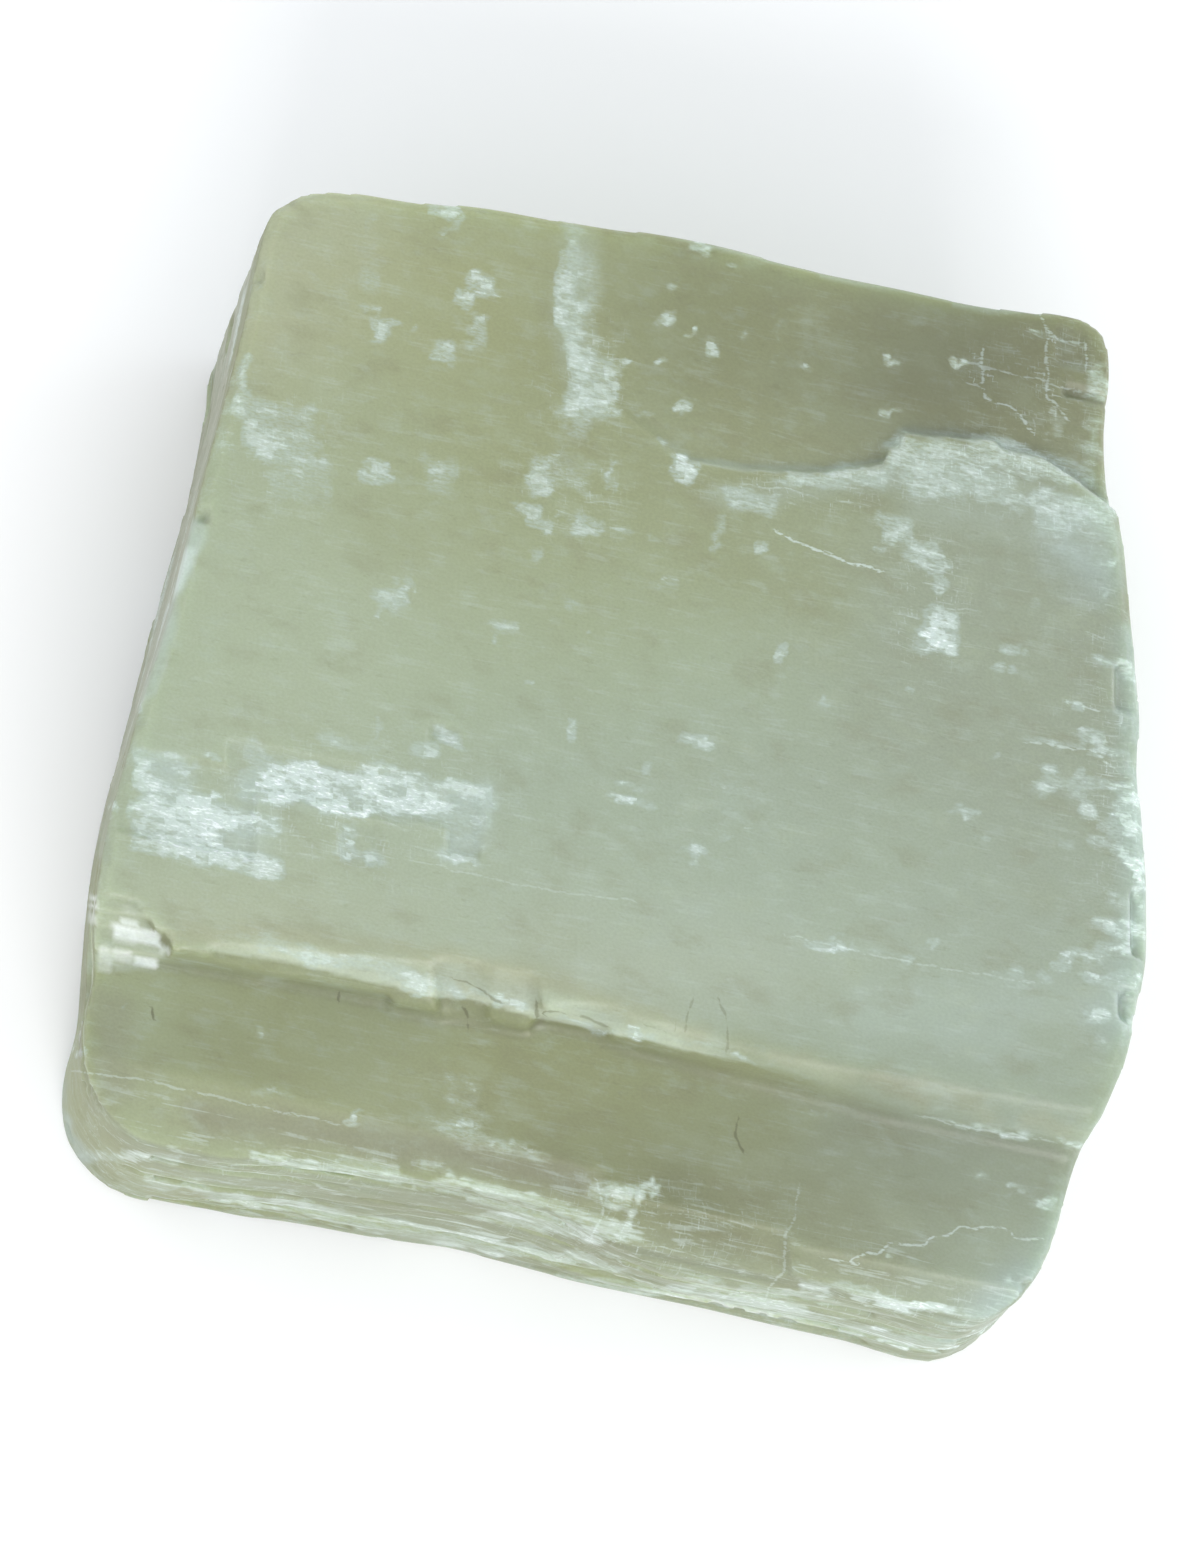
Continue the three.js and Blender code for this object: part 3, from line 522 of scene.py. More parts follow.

# The same for the rims, over the colours of the side faces, with painted glints on the left face.
RIM_STAINS_AND_GLINTS = [
    (HAZE, [(-30.6, 18.5), (-32.6, 11.5), (-34, 6.5)], 1.4, 0.35, 0.6),
    # Painted glints on the left face.
    (FRAGMENT, [(-31.2, 16.6), (-31.9, 13.8)], 1, 0.35, 0.7),
    (FRAGMENT, [(-34.4, 5.6), (-34.9, 4.9)], 0.9, 0.3, 0.5),
    (GREY, [(-34.9, 4), (-35.6, 0.8), (-37.1, -5.8)], 1.2, 0.4, 0.5),
    (OLIVE, [(-39, -19), (-39.2, -25), (-36.5, -29), (-31, -31.5)], 2.6, 1, 0.55),
    (COOL, [(-40.6, -21.5), (-40.2, -25.5), (-38.5, -28.6)], 0.3, 0.5, 0.4),
    (BROWN, [(20, 37.6), (33, 35.3), (36.6, 33.8), (38.2, 31)], 0.8, 0.8, 0.6),
    (PURPLE, [(38.4, 31), (38.2, 24), (39.6, 18.6)], 0.6, 0.7, 0.5),
]


def to_lattice(x, y, height):
    """Lattice coordinates of a place given from MIDDLE; height is negative below the top face."""
    along = (x - LEAN[0] * height) / S
    across = y - LEAN[1] * height - along * C
    return along, across


def hashed(*cells):
    """A repeatable number from 0 to 1 for each whole-numbered cell."""
    total = np.zeros(cells[0].shape)
    for i, cell in enumerate(cells):
        total = total + cell * (127.1 + 184.6 * i)
    wave = np.sin(total) * 43758.5453
    return wave - np.floor(wave)


def value_noise(*coordinates):
    """Smooth noise from 0 to 1 with one bump to a unit of each coordinate."""
    floors = [np.floor(c) for c in coordinates]
    parts = [c - f for c, f in zip(coordinates, floors)]
    parts = [p * p * (3 - 2 * p) for p in parts]
    total = np.zeros(coordinates[0].shape)
    for corner in range(2 ** len(coordinates)):
        steps = [(corner >> axis) & 1 for axis in range(len(coordinates))]
        weight = np.ones(total.shape)
        for part, step in zip(parts, steps):
            weight = weight * (part if step else 1 - part)
        total += weight * hashed(*[f + step for f, step in zip(floors, steps)])
    return total


def smooth_step(low, high, value):
    t = np.clip((value - low) / (high - low), 0, 1)
    return t * t * (3 - 2 * t)


def camera_axes():
    place = Vector(CAMERA_PLACE)
    forward = -place.normalized()
    right = forward.cross(Vector((0, 1, 0))).normalized()
    return place, right, right.cross(forward), forward


def on_picture(x, y, height):
    """Where a place shows on the picture, in millimetres at the top face's level."""
    place, right, up, forward = camera_axes()
    offsets = np.stack([x - place.x, y - place.y, height - place.z], axis=-1)
    depth = offsets @ np.array(forward) / place.length
    return offsets @ np.array(right) / depth, offsets @ np.array(up) / depth


def add_object(name, data):
    thing = bpy.data.objects.new(name, data)
    bpy.context.scene.collection.objects.link(thing)
    return thing


def make_block(source):
    """The CAD solid as an even fine mesh whose rows follow the cleavage, with its edges worn."""
    mesh = source.data.copy()
    block = add_object("calcite_block", mesh)
    x, y, height = (read_vectors(mesh.vertices, "co") / MM - np.array(MIDDLE)).T
    along, across = to_lattice(x, y, height)
    write_places(mesh, np.column_stack([along, across, height]))
    remesh = block.modifiers.new("even", "REMESH")
    remesh.mode = "VOXEL"
    remesh.voxel_size = VOXEL * MM
    apply_modifiers(block)
    wear(block)
    along, across, height = (read_vectors(block.data.vertices, "co") / MM).T
    x = along * S + LEAN[0] * height
    y = across + LEAN[1] * height + along * C
    write_places(block.data, np.column_stack([x, y, height]) + np.array(MIDDLE))
    return block


def wear(block):
    """Takes the sharpness off the mesh, most of all along its front edge and its step."""
    along, across, height = (read_vectors(block.data.vertices, "co") / MM).T
    front_edge = smooth_step(*FRONT_WEAR_ACROSS, across) * smooth_step(*FRONT_WEAR_HEIGHT, height)
    step = smooth_step(*STEP_WEAR_FOOT, across) * smooth_step(*STEP_WEAR_TOP, across)
    step *= smooth_step(*STEP_WEAR_HEIGHT, height) * smooth_step(*STEP_WEAR_ALONG, along)
    soften(block, np.ones(len(across)), WEAR_ALL)
    soften(block, front_edge, WEAR_FRONT)
    soften(block, step, WEAR_STEP)
    soften(block, step * smooth_step(*STEP_RIGHT_ALONG, along), WEAR_STEP_RIGHT)


def soften(block, weights, times):
    """Smooths the mesh where the weights are high."""
    name = "worn"
    group_by_weight(block, name, weights)
    smooth = block.modifiers.new(name, "SMOOTH")
    smooth.factor = 0.5
    smooth.iterations = times
    smooth.vertex_group = name
    apply_modifiers(block)
    block.vertex_groups.clear()


def group_by_weight(block, name, weights):
    group = block.vertex_groups.new(name=name)
    levels = np.round(weights * 10).astype(int)
    for level in range(1, 11):
        group.add(np.flatnonzero(levels == level).tolist(), level / 10, "REPLACE")


def apply_modifiers(block):
    graph = bpy.context.evaluated_depsgraph_get()
    graph.update()
    result = bpy.data.meshes.new_from_object(block.evaluated_get(graph))
    block.modifiers.clear()
    block.data = result


def thin_out(block):
    """Fewer faces on the sides and underneath, all of them kept on top."""
    mesh = block.data
    normals = read_vectors(mesh.vertices, "normal")
    group_by_weight(block, "thin", 1 - smooth_step(*KEPT_WHOLE, normals[:, 2]))
    faces = len(mesh.polygons) * 2
    decimate = block.modifiers.new("thin", "DECIMATE")
    decimate.ratio = min(1, MOST_FACES / faces)
    decimate.vertex_group = "thin"
    apply_modifiers(block)
    block.vertex_groups.clear()


def write_places(mesh, places):
    mesh.vertices.foreach_set("co", (places * MM).astype(np.float32).ravel())
    mesh.update()


def read_vectors(collection, name):
    flat = np.empty(len(collection) * 3, dtype=np.float32)
    collection.foreach_get(name, flat)
    return flat.reshape(-1, 3).astype(np.float64)


class Surface:
    """Where each point of the block is, which way it faces, and where it shows on the picture."""

    def __init__(self, mesh):
        self.places = read_vectors(mesh.vertices, "co") / MM - np.array(MIDDLE)
        self.normals = read_vectors(mesh.vertices, "normal")
        x, y, self.height = self.places.T
        self.along, self.across = to_lattice(x, y, self.height)
        self.px, self.py = on_picture(x, y, self.height)
        self.up = smooth_step(*TOP_FACE, self.normals[:, 2])
        self.near_top = smooth_step(*NEAR_TOP, self.height)
        front_or_left = np.maximum(smooth_step(*FRONT_SIDE, self.across), smooth_step(*LEFT_SIDE, self.along))
        self.seen = smooth_step(*TURNED_UP, self.normals[:, 2]) * np.maximum(self.near_top, front_or_left)

    def moved(self, across, size, reach):
        return warp(self.px, self.py, across, size, reach)


def relief(s):
    """How far each point stands out, in millimetres: thin plates on the sides, faint steps on top."""
    up = smooth_step(*FLAT_FACE, np.abs(s.normals[:, 2]))
    worn = 1 - 0.6 * smooth_step(*LESS_PLATED, s.normals[:, 2])
    plates = np.zeros(up.shape)
    for thick, run, depth in PLATES:
        bend = PLATE_BEND * np.sin(s.along / run) + PLATE_BEND * np.sin(s.across / run)
        layer = np.floor(s.height / thick + bend)
        start = hashed(layer, layer * 0 + thick) * 50
        plates += depth * (value_noise(s.along / run + start, s.across / run + start, layer) - 0.5) * 2
    a, b, h = SWELL_SIZE
    swell = value_noise(s.along / a, s.across / b, s.height / h) - 0.5
    a, b, h = STEPS_SIZE
    steps = value_noise(s.along / a, s.across / b, s.height / h + 7)
    steps = np.floor(steps * STEPS_LEVELS) / STEPS_LEVELS - 0.5
    return (1 - up) * worn * plates + up * (SWELL_DEPTH * swell + STEPS_DEPTH * steps)


def raise_relief(mesh, s):
    """Moves the surface out and in by its relief, inside the CAD box and not where it stands."""
    stand = relief(s) * smooth_step(*ABOVE_FLOOR, s.height)
    places = s.places + s.normals * stand[:, None]
    places = np.clip(places, np.array(low_corner - MIDDLE), np.array(high_corner - MIDDLE))
    write_places(mesh, places + np.array(MIDDLE))


def veil_field(px, py):
    """How thick the whitish veils are at each place on the picture, from 0 to 1."""
    clear = np.ones(px.shape)
    for x, y, length, width, strength in VEILS:
        near = (np.abs(px - x) < length + 2) & (np.abs(py - y) < width + length * 0.3 + 2)
        dx, dy = px[near] - x, py[near] - y
        a = dx / S
        b = dy - a * C
        soft_a = min(0.7, 0.2 + 0.2 * length)
        soft_b = min(0.5, 0.2 + 0.18 * width)
        inside_a = smooth_step(length / 2 + soft_a, length / 2 - soft_a, np.abs(a))
        inside_b = smooth_step(width / 2 + soft_b, width / 2 - soft_b, np.abs(b))
        clear[near] *= 1 - strength * inside_a * inside_b
    return 1 - clear


def band_field(px, py, points, width, soft):
    """1 inside a band along the points, falling to 0 over a soft edge."""
    distance = np.abs(signed_distance(px, py, points)[0])
    return smooth_step(width / 2 + soft, width / 2 - min(soft, width / 2), distance)


def signed_distance(px, py, points):
    """Distance to a line of points, positive on its left, and how far each place is past an end."""
    nearest = np.full(px.shape, 1e9)
    past = np.zeros(px.shape)
    for (x0, y0), (x1, y1) in zip(points, points[1:]):
        dx, dy = x1 - x0, y1 - y0
        length = math.hypot(dx, dy)
        t = ((px - x0) * dx + (py - y0) * dy) / length**2
        over = np.maximum(np.maximum(-t, t - 1), 0) * length
        side = ((py - y0) * dx - (px - x0) * dy) / length
        here = np.where(side < 0, -1, 1) * np.hypot(side, over)
        closer = np.abs(here) < np.abs(nearest)
        nearest = np.where(closer, here, nearest)
        past = np.where(closer, over, past)
    return nearest, past


def line_fields(px, py, lines):
    """The signed distance to the nearest line in widths, and how strongly that line shows there."""
    nearest = np.full(px.shape, 9.0)
    shows = np.zeros(px.shape)
    for points, width, strength in lines:
        xs, ys = zip(*points)
        close_x = (px > min(xs) - 2) & (px < max(xs) + 2)
        close_y = (py > min(ys) - 2) & (py < max(ys) + 2)
        near = np.flatnonzero(close_x & close_y)
        distance, past = signed_distance(px[near], py[near], points)
        closer = np.abs(distance / width) < np.abs(nearest[near])
        nearest[near[closer]] = (distance / width)[closer]
        reach = smooth_step(1.1, 0.6, np.abs(distance)) * smooth_step(0.4, 0.1, past)
        shows[near[closer]] = (strength * reach)[closer]
    return nearest, shows


def warp(px, py, across, size, reach):
    """Moves places about a little, so that soft shapes get natural outlines."""
    u, v = px / size, py / size
    fine_u, fine_v = u * 2.3, v * 2.3
    shift_x = value_noise(u, v, u * 0 + 3) + 0.5 * value_noise(fine_u, fine_v)
    shift_y = value_noise(u, v, u * 0 + 8) + 0.5 * value_noise(fine_v, fine_u)
    return px + (shift_x - 0.75) * reach, py + (shift_y - 0.75) * reach * across


def blob(px, py, x, y, half_width, half_height):
    return np.exp(-(((px - x) / half_width) ** 2 + ((py - y) / half_height) ** 2))


def blend_zones(px, py, zones):
    """The colour of the zones at each place on the picture, each by its share there."""
    total = np.zeros(px.shape + (3,))
    weights = np.zeros(px.shape)
    for colour, x, y, half_width, half_height, weight in zones:
        share = weight * blob(px, py, x, y, half_width, half_height)
        total += share[:, None] * np.array(colour)
        weights += share
    return total / weights[:, None]


def blob_field(px, py, places):
    """The strongest of some soft blobs at each place on the picture."""
    field = np.zeros(px.shape)
    for x, y, half_width, half_height, amount in places:
        field = np.maximum(field, amount * blob(px, py, x, y, half_width, half_height))
    return field


def mix_in(tint, colour, share):
    tint += (np.array(colour) - tint) * share[:, None]


def add_stains_and_light(tint, s, stains_and_light):
    x, y = s.moved(*STAIN_WARP)
    for colour, points, width, soft, strength in stains_and_light:
        mix_in(tint, colour, strength * band_field(x, y, points, width, soft) * s.seen)


def add_faces(tint, s, above, shelf):
    """The colours of the side faces, and of the slopes and bands that lie along an edge: painted shade on the
    left face and on front-facing slopes, a painted highlight along the step, painted light on back-facing
    slopes.
    """
    front = smooth_step(*SIDE_FACE, -s.normals[:, 1]) * (1 - s.up) * smooth_step(*BELOW_SHELF, s.height)
    # The left face: its brownish colour with painted shade, weaker towards the front-left corner.
    left = smooth_step(*SIDE_FACE, -s.normals[:, 0]) * (1 - s.up)
    left *= 1 - LEFT_CORNER_LOSS * smooth_step(*LEFT_CORNER_Y, s.py)
    fade = 0.8 + 0.8 * value_noise(s.px / 3, s.py * 0)
    # Painted highlight: a cream band just above the step edge stands in for the front light on the step's
    # slope.
    step_highlight = np.exp(-((above / fade) ** 2)) * (1 - shelf) * smooth_step(*CREAM_LEFT_X, s.px)
    step_highlight *= 0.15 + 0.85 * smooth_step(*CREAM_RIGHT_X, s.px)
    step_highlight *= 0.55 + 0.45 * value_noise(s.px / 1.4, s.py / 0.8)
    # Painted light: back-facing slopes near the top are lightened with haze, lifting the shade at the
    # terrace's edge.
    back_slope_light = smooth_step(*SLOPE_TO_BACK, s.normals[:, 1]) * smooth_step(*ABOVE_TERRACE, s.height)
    back_slope_light *= smooth_step(*BACK_SLOPE_X, s.px)
    # Painted shade: front-facing slopes near the top are darkened to offset the front light that brightens
    # them.
    front_slope_shade = smooth_step(*SLOPE_TO_FRONT, -s.normals[:, 1]) * s.near_top * smooth_step(*STEP_SIDE, s.across)
    front_slope_shade *= np.maximum(shelf, smooth_step(*DARK_SLOPE_X, s.px))
    front_slope_shade *= SLOPE_SHADE - FAINT_SLOPE_LOSS * smooth_step(*FAINT_SLOPE_X, s.px)
    tint *= 1 - front_slope_shade[:, None]
    mix_in(tint, FRONT_FACE, front * FRONT_SHARE)
    mix_in(tint, LEFT_FACE, left * LEFT_SHARE)
    mix_in(tint, CREAM, step_highlight * CREAM_SHARE)
    mix_in(tint, HAZE, back_slope_light * BACK_SLOPE_SHARE)
    mix_in(tint, GREY, smooth_step(*FOOT, s.height) * s.seen * FOOT_SHARE)


def add_stack_glints(tint, s):
    """Painted highlights on the small broken blocks at the step's left end, with crisp sides."""
    for x, y, length, width, strength in STACK_GLINTS:
        a = (s.px - x) / S
        b = s.py - y - a * C
        inside = smooth_step(STACK_SOFT, -STACK_SOFT, np.abs(a) - length / 2)
        inside *= smooth_step(STACK_SOFT, -STACK_SOFT, np.abs(b) - width / 2)
        mix_in(tint, PAINTED_GLINT, strength * inside)


def tint_field(s):
    """The block's colour at each point, under its marks."""
    above = signed_distance(*s.moved(*EDGE_WARP), STEP_EDGE)[0]
    edge_soft = 0.12 + 0.7 * smooth_step(*SOFT_EDGE_X, s.px)
    shelf = smooth_step(edge_soft, -edge_soft, above)
    zone_places = s.moved(*ZONE_WARP)
    tint = blend_zones(*zone_places, ZONES)
    mix_in(tint, blend_zones(*zone_places, SHELF_ZONES), shelf * s.seen)
    mix_in(tint, MILKY, HIDDEN_SHARE * (1 - s.seen))
    add_stains_and_light(tint, s, STAINS_AND_LIGHT)
    add_faces(tint, s, above, shelf)
    add_stains_and_light(tint, s, RIM_STAINS_AND_GLINTS)
    add_stack_glints(tint, s)
    return tint


def all_veils(s):
    """The veils and streaks that the photograph shows, and some of their kind on the hidden faces."""
    x, y = s.moved(*VEIL_WARP)
    cell_a, cell_b = np.floor(s.along / VEIL_CELL[0]), np.floor(s.across / VEIL_CELL[1])
    x += (hashed(cell_a, cell_b) - 0.5) * VEIL_SHIFT[0]
    y += (hashed(cell_b, cell_a) - 0.5) * VEIL_SHIFT[1]
    veil = veil_field(x, y)
    for points, width, strength in STREAKS:
        veil = 1 - (1 - veil) * (1 - strength * band_field(x, y, points, width, STREAK_SOFT))
    a, b, h = SIDE_VEIL_SIZE
    side_veil = smooth_step(*SIDE_VEIL_FROM, value_noise(s.along / a, s.across / b, s.height / h))
    return veil * s.seen + SIDE_VEIL * side_veil * (1 - s.seen)


def paint(block):
    """Relief, then the colour and mark fields that the material reads."""
    mesh = block.data
    s = Surface(mesh)
    raise_relief(mesh, s)
    tint = tint_field(s)
    store(mesh, "tint", "FLOAT_COLOR", np.column_stack([tint, np.ones(len(tint))]))
    store(mesh, "lattice", "FLOAT_VECTOR", np.column_stack([s.along, s.across, s.height]))
    store(mesh, "veil", "FLOAT", all_veils(s))
    for name, lines in (("crack", CRACKS), ("dark", DARK_LINES)):
        distance, shows = line_fields(*s.moved(*LINE_WARP), lines)
        store(mesh, name, "FLOAT_VECTOR", np.column_stack([distance, shows * s.seen, distance * 0]))
    zone_places = s.moved(*ZONE_WARP)
    layered = smooth_step(*LAYERS_ACROSS, s.across) * smooth_step(*LAYERS_ALONG, s.along)
    store(mesh, "net", "FLOAT", blob_field(*zone_places, NET_PLACES) * s.seen)
    # Where the painted glints show.
    store(mesh, "bright", "FLOAT", np.maximum(LEAST_BRIGHT, blob_field(*zone_places, BRIGHT_PLACES)))
    store(mesh, "clear", "FLOAT", blob_field(*zone_places, CLEAR_PLACES) * s.seen)
    store(mesh, "front", "FLOAT", layered)
    store(mesh, "side", "FLOAT", (1 - s.up) * (1 - SIDE_SEEN_LOSS * s.seen))
    store(mesh, "dull", "FLOAT", (1 - s.up) * s.seen)


def store(mesh, name, kind, values):
    layer = mesh.attributes.new(name, kind, "POINT")
    field = {"FLOAT_COLOR": "color", "FLOAT_VECTOR": "vector", "FLOAT": "value"}[kind]
    layer.data.foreach_set(field, values.astype(np.float32).ravel())


class Shader:
    """Short names for the nodes that the calcite material is made of."""

    def __init__(self, name):
        self.material = bpy.data.materials.new(name)
        self.material.use_nodes = True
        self.tree = self.material.node_tree
        self.tree.nodes.clear()

    def node(self, kind, inputs=None, **settings):
        node = self.tree.nodes.new(kind)
        for key, value in settings.items():
            setattr(node, key, value)
        for key, value in (inputs or {}).items():
            self.plug(value, node.inputs[key])
        return node

    def plug(self, value, socket):
        if isinstance(value, bpy.types.NodeSocket):
            self.tree.links.new(value, socket)
        else:
            socket.default_value = value

    def attribute(self, name, output="Fac"):
        return self.node("ShaderNodeAttribute", attribute_name=name).outputs[output]

    def math(self, operation, a, b=0, clamp=False):
        return self.node("ShaderNodeMath", {0: a, 1: b}, operation=operation, use_clamp=clamp).outputs[0]

    def spread(self, value, low, high, to_low=0, to_high=1):
        inputs = {"Value": value, "From Min": low, "From Max": high, "To Min": to_low, "To Max": to_high}
        return self.node("ShaderNodeMapRange", inputs, interpolation_type="SMOOTHSTEP").outputs[0]

    def blend(self, share, a, b, kind="FLOAT"):
        inputs = {"Factor": share, "A": a, "B": b}
        return self.node("ShaderNodeMix", inputs, data_type=kind).outputs["Result"]

    def mix(self, share, a, b):
        return self.blend(share, a, b, "RGBA")

    def scaled(self, vector, scale):
        return self.node("ShaderNodeVectorMath", {0: vector, 1: scale}, operation="MULTIPLY").outputs[0]

    def noise(self, vector, scale, detail, roughness):
        vector = self.scaled(vector, scale)
        inputs = {"Vector": vector, "Scale": 1, "Detail": detail, "Roughness": roughness}
        return self.node("ShaderNodeTexNoise", inputs).outputs["Fac"]

    def shaken(self, vector, size, amount):
        """The places, moved about a little."""
        noise = self.node("ShaderNodeTexNoise", {"Vector": vector, "Scale": size, "Detail": 1.0})
        inputs = {0: noise.outputs["Color"], 1: (amount, amount, amount), 2: vector}
        return self.node("ShaderNodeVectorMath", inputs, operation="MULTIPLY_ADD").outputs[0]

    def blocks(self, vector, scale):
        """A random number for each lattice-sided cell."""
        snapped = self.node("ShaderNodeVectorMath", {0: self.scaled(vector, scale)}, operation="FLOOR")
        return self.node("ShaderNodeTexWhiteNoise", {"Vector": snapped.outputs[0]}).outputs["Value"]

    def net(self, vector, length, width, line):
        """Thin lines between cells whose sides follow the lattice, in uneven rows."""
        inputs = {"Vector": vector, "Scale": 1, "Mortar Size": line, "Mortar Smooth": 0.6,
                  "Brick Width": length, "Row Height": width}
        settings = {"offset": 0.37, "offset_frequency": 2, "squash": 0.55, "squash_frequency": 3}
        return self.node("ShaderNodeTexBrick", inputs, **settings).outputs["Fac"]

    def drawn(self, line, breaks):
        """A thin line from its distance and strength, broken up along its length."""
        parts = self.node("ShaderNodeSeparateXYZ", {"Vector": line}).outputs
        away = self.math("ABSOLUTE", parts["X"])
        away = self.math("ADD", away, self.spread(breaks, *LINE_THINNED))
        return self.times(self.spread(away, *LINE_EDGE), parts["Y"], self.spread(breaks, *LINE_BROKEN))

    def output(self, shader, volume=None):
        output = self.node("ShaderNodeOutputMaterial")
        self.tree.links.new(shader.outputs[0], output.inputs["Surface"])
        if volume:
            self.tree.links.new(volume.outputs[0], output.inputs["Volume"])
        return self.material

    def times(self, first, *others):
        for other in others:
            first = self.math("MULTIPLY", first, other)
        return first


def crack_net(sh, grain, shaken):
    """A fine net of cracks along the cleavage, broken up by the grain."""
    fine = sh.times(sh.net(shaken, *FINE_NET), FINE_NET_SHARE)
    lines = sh.math("MAXIMUM", sh.net(shaken, *WIDE_NET), fine)
    broken = sh.times(sh.spread(grain["wisps"], *ON_WISPS), sh.spread(grain["fine_fibres"], *NET_ON_FIBRES))
    return sh.times(lines, sh.attribute("net"), broken)


def veil_layers(sh, grain, shaken):
    """Haze, fragments and flashes, the flashes being painted glints off the cleavage cracks: none where there
    is no veil, nearly closed where it is full.
    """
    veil = sh.attribute("veil")
    bright = sh.attribute("bright")
    blocks = sh.blocks(shaken, BLOCKS)
    ragged = sh.math("ADD", grain["fibres"], sh.times(sh.math("SUBTRACT", blocks, 0.5), RAGGED_BLOCKS))
    ragged = sh.math("ADD", ragged, sh.times(sh.math("SUBTRACT", grain["wisps"], 0.5), RAGGED_WISPS))
    ragged = sh.blend(sh.attribute("front"), ragged, sh.spread(grain["plates"], *PLATE_LEVELS))
    over = sh.math("ADD", ragged, sh.times(veil, VEIL_LIFT))
    haze = sh.math("ADD", sh.times(veil, HAZE_BY_VEIL), sh.times(grain["wisps"], HAZE_BY_WISPS))
    haze = sh.times(sh.spread(haze, *HAZE_FROM), sh.spread(veil, *HAZE_EDGE))
    fragments = sh.times(sh.spread(over, *FRAGMENTS_FROM), sh.spread(veil, *FRAGMENTS_EDGE),
                         sh.spread(bright, *FRAGMENTS_BY_BRIGHT))
    # Painted glints: white flashes of light reflected off the cleavage cracks.
    flashes = sh.times(sh.spread(over, *FLASHES_FROM), sh.spread(grain["fine_fibres"], *FLASHES_ON_FIBRES),
                       bright, FLASH_SHARE)
    return haze, fragments, flashes


def cleavage_traces(sh, grain):
    """Thin straight lines along the cleavage: contours of a noise stretched along it."""
    off_middle = sh.math("ABSOLUTE", sh.math("SUBTRACT", grain["stretched"], 0.5))
    shows = sh.blend(sh.attribute("front"), *TRACE_SHARES)
    return sh.times(sh.spread(off_middle, *TRACE_LINE), sh.spread(grain["wisps"], *ON_WISPS), shows)


def mottled(sh, grain, tint, layers):
    for name, limits, colour in layers:
        tint = sh.mix(sh.spread(grain[name], *limits), tint, (*colour, 1))
    return tint


def base_colour(sh, grain, shaken, haze, fragments, flashes):
    side = sh.attribute("side")
    tint = mottled(sh, grain, sh.attribute("tint", "Color"), LARGE_MOTTLES)
    for limits, share, colour in SIDE_LAYERS:
        tint = sh.mix(sh.times(sh.spread(grain["layers"], *limits), side, share), tint, (*colour, 1))
    tint = mottled(sh, grain, tint, SMALL_MOTTLES)
    tint = sh.mix(cleavage_traces(sh, grain), tint, (*FRAGMENT, 1))
    threads = sh.spread(grain["fine_fibres"], *THREADS)
    thick = sh.times(haze, threads, sh.blend(sh.attribute("front"), *HAZE_SHARES))
    cracks = sh.times(sh.drawn(sh.attribute("crack", "Vector"), grain["fine_fibres"]), CRACK_SHARE)
    marks = [(thick, HAZE), (fragments, FRAGMENT), (crack_net(sh, grain, shaken), FRAGMENT),
             (flashes, PAINTED_GLINT), (cracks, FRAGMENT)]
    for share, colour in marks:
        tint = sh.mix(share, tint, (*colour, 1))
    tones = sh.spread(grain["grains"], *GRAIN_TONES)
    toned = sh.node("ShaderNodeVectorMath", {0: tint, "Scale": tones}, operation="SCALE")
    return sh.mix(sh.drawn(sh.attribute("dark", "Vector"), grain["wisps"]), toned.outputs[0], (*DEEP, 1))


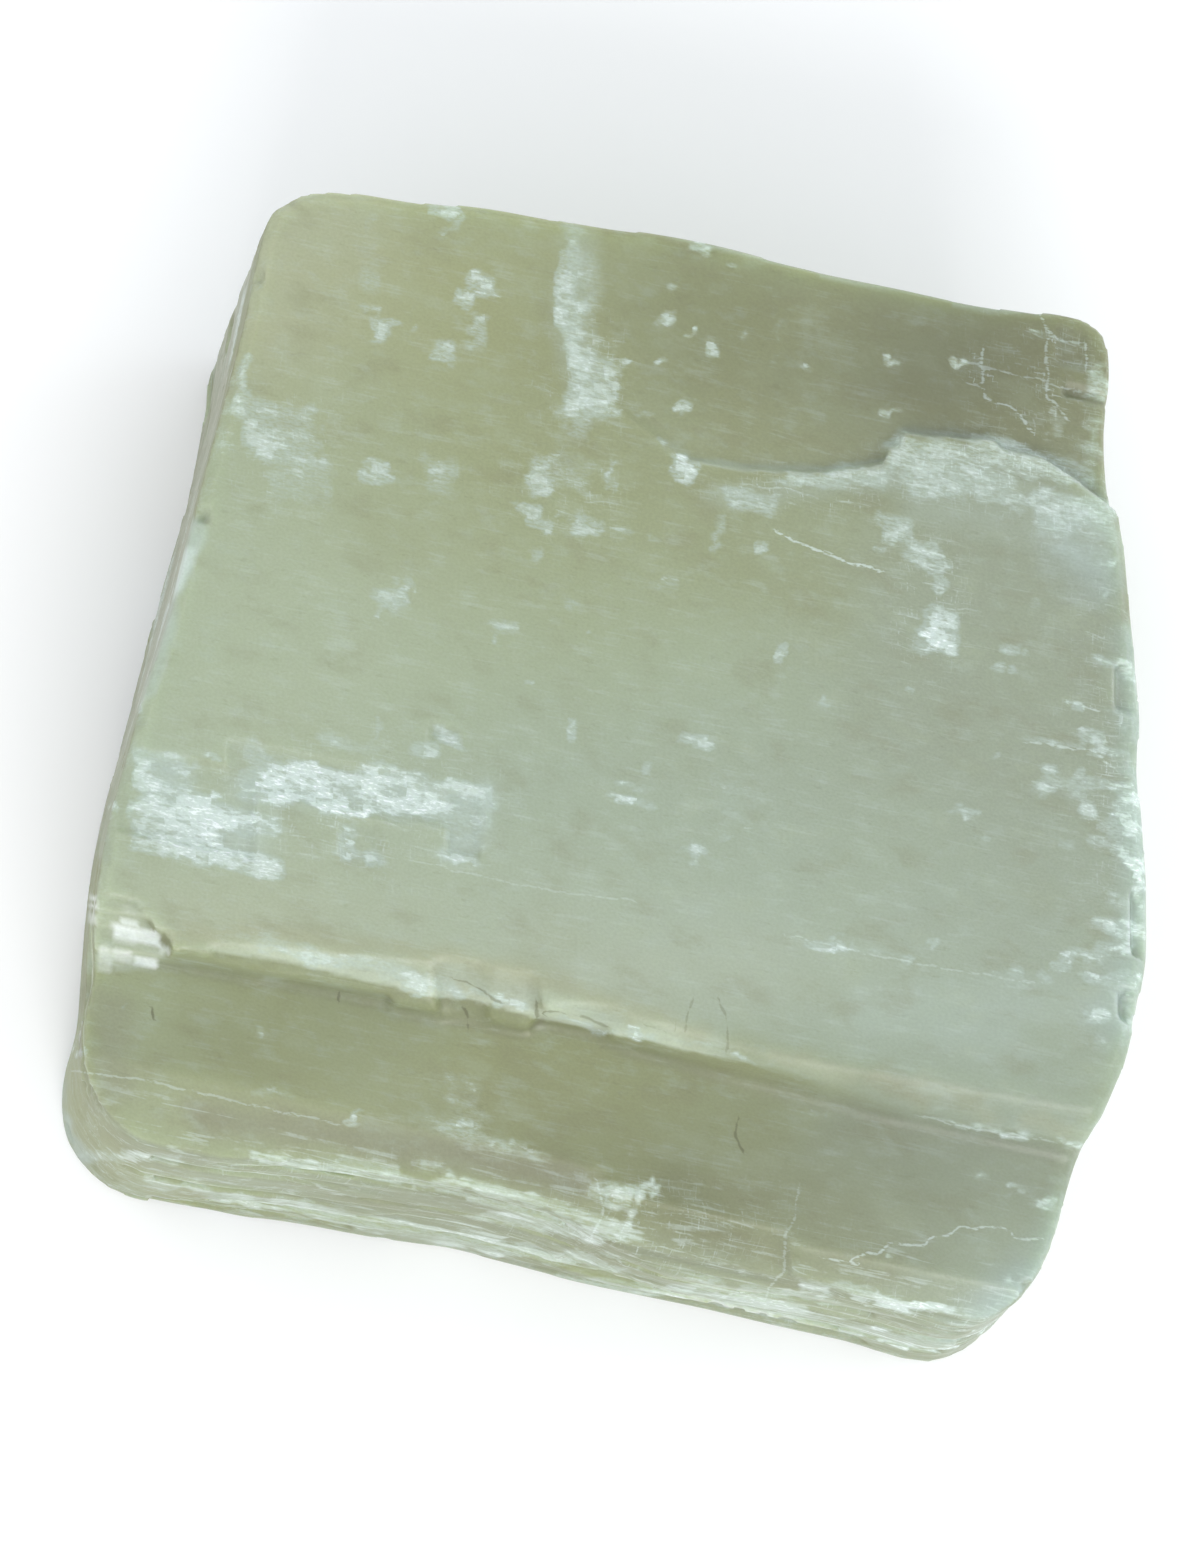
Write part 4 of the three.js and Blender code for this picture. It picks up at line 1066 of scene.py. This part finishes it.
def calcite_material():
    sh = Shader("calcite")
    lattice = sh.attribute("lattice", "Vector")
    grain = {name: sh.noise(lattice, *settings) for name, settings in GRAINS.items()}
    shaken = sh.shaken(lattice, SHAKE_SIZE, SHAKE)
    haze, fragments, flashes = veil_layers(sh, grain, shaken)
    clear = sh.times(sh.attribute("clear"), sh.math("SUBTRACT", 1, haze, clamp=True))
    polished = sh.spread(grain["wisps"], *POLISHED)
    heights = sh.math("ADD", sh.times(grain["fibres"], FIBRE_BUMP), sh.times(grain["grains"], GRAIN_BUMP))
    bump = sh.node("ShaderNodeBump", {"Strength": BUMP, "Distance": BUMP_DEPTH * MM, "Height": heights})
    shader = sh.node("ShaderNodeBsdfPrincipled", {
        "Base Color": base_colour(sh, grain, shaken, haze, fragments, flashes),
        "Roughness": sh.blend(sh.attribute("dull"), polished, WORN_ROUGHNESS),
        "IOR": IOR,
        "Specular IOR Level": SPECULAR,
        "Normal": bump.outputs[0],
        "Subsurface Weight": SCATTER,
        "Subsurface Radius": SCATTER_RADIUS,
        "Subsurface Scale": SCATTER_DEPTH * MM,
        "Transmission Weight": clear,
    })
    shader.subsurface_method = "RANDOM_WALK"
    absorb = sh.node("ShaderNodeVolumeAbsorption", {"Color": (*ABSORB_COLOUR, 1), "Density": ABSORB_DENSITY})
    return sh.output(shader, absorb)


def plain_material(name, colour, roughness):
    sh = Shader(name)
    shader = sh.node("ShaderNodeBsdfPrincipled", {"Base Color": (*colour, 1), "Roughness": roughness})
    return sh.output(shader)


def make_floor():
    mesh = bpy.data.meshes.new("floor")
    half = FLOOR_HALF
    corners = [(-half, -half, 0), (half, -half, 0), (half, half, 0), (-half, half, 0)]
    mesh.from_pydata(corners, [], [(0, 1, 2, 3)])
    mesh.materials.append(plain_material("pale_floor", FLOOR_COLOUR, FLOOR_ROUGHNESS))
    floor = add_object("floor", mesh)


def add_light(name, place, size, power, colour):
    light = bpy.data.lights.new(name, "AREA")
    light.shape = "DISK"
    light.size = size
    light.energy = power
    light.color = colour
    lamp = add_object(name, light)
    lamp.location = place
    lamp.rotation_euler = (-Vector(place)).to_track_quat("-Z", "Y").to_euler()


def light_scene():
    world = bpy.data.worlds.new("studio")
    world.use_nodes = True
    background = world.node_tree.nodes["Background"]
    background.inputs["Color"].default_value = (*WORLD_COLOUR, 1)
    background.inputs["Strength"].default_value = WORLD_STRENGTH
    bpy.context.scene.world = world
    for name, settings in LIGHTS.items():
        add_light(name, *settings)
    bpy.context.scene.view_settings.view_transform = "Standard"


def add_camera():
    place, right, up, forward = camera_axes()
    data = bpy.data.cameras.new("camera")
    data.sensor_fit = "VERTICAL"
    data.sensor_height = SENSOR
    data.lens = SENSOR * place.length / PICTURE_HEIGHT
    camera = add_object("camera", data)
    turn = Matrix((right, up, -forward)).transposed().to_4x4()
    camera.matrix_world = Matrix.Translation((MIDDLE + place) * MM) @ turn
    bpy.context.scene.camera = camera


add_camera()
block = make_block(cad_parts[NODE])
thin_out(block)
paint(block)
for polygon in block.data.polygons:
    polygon.use_smooth = True
block.data.materials.clear()
block.data.materials.append(calcite_material())
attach(block, "root")
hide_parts(NODE)
make_floor()
light_scene()
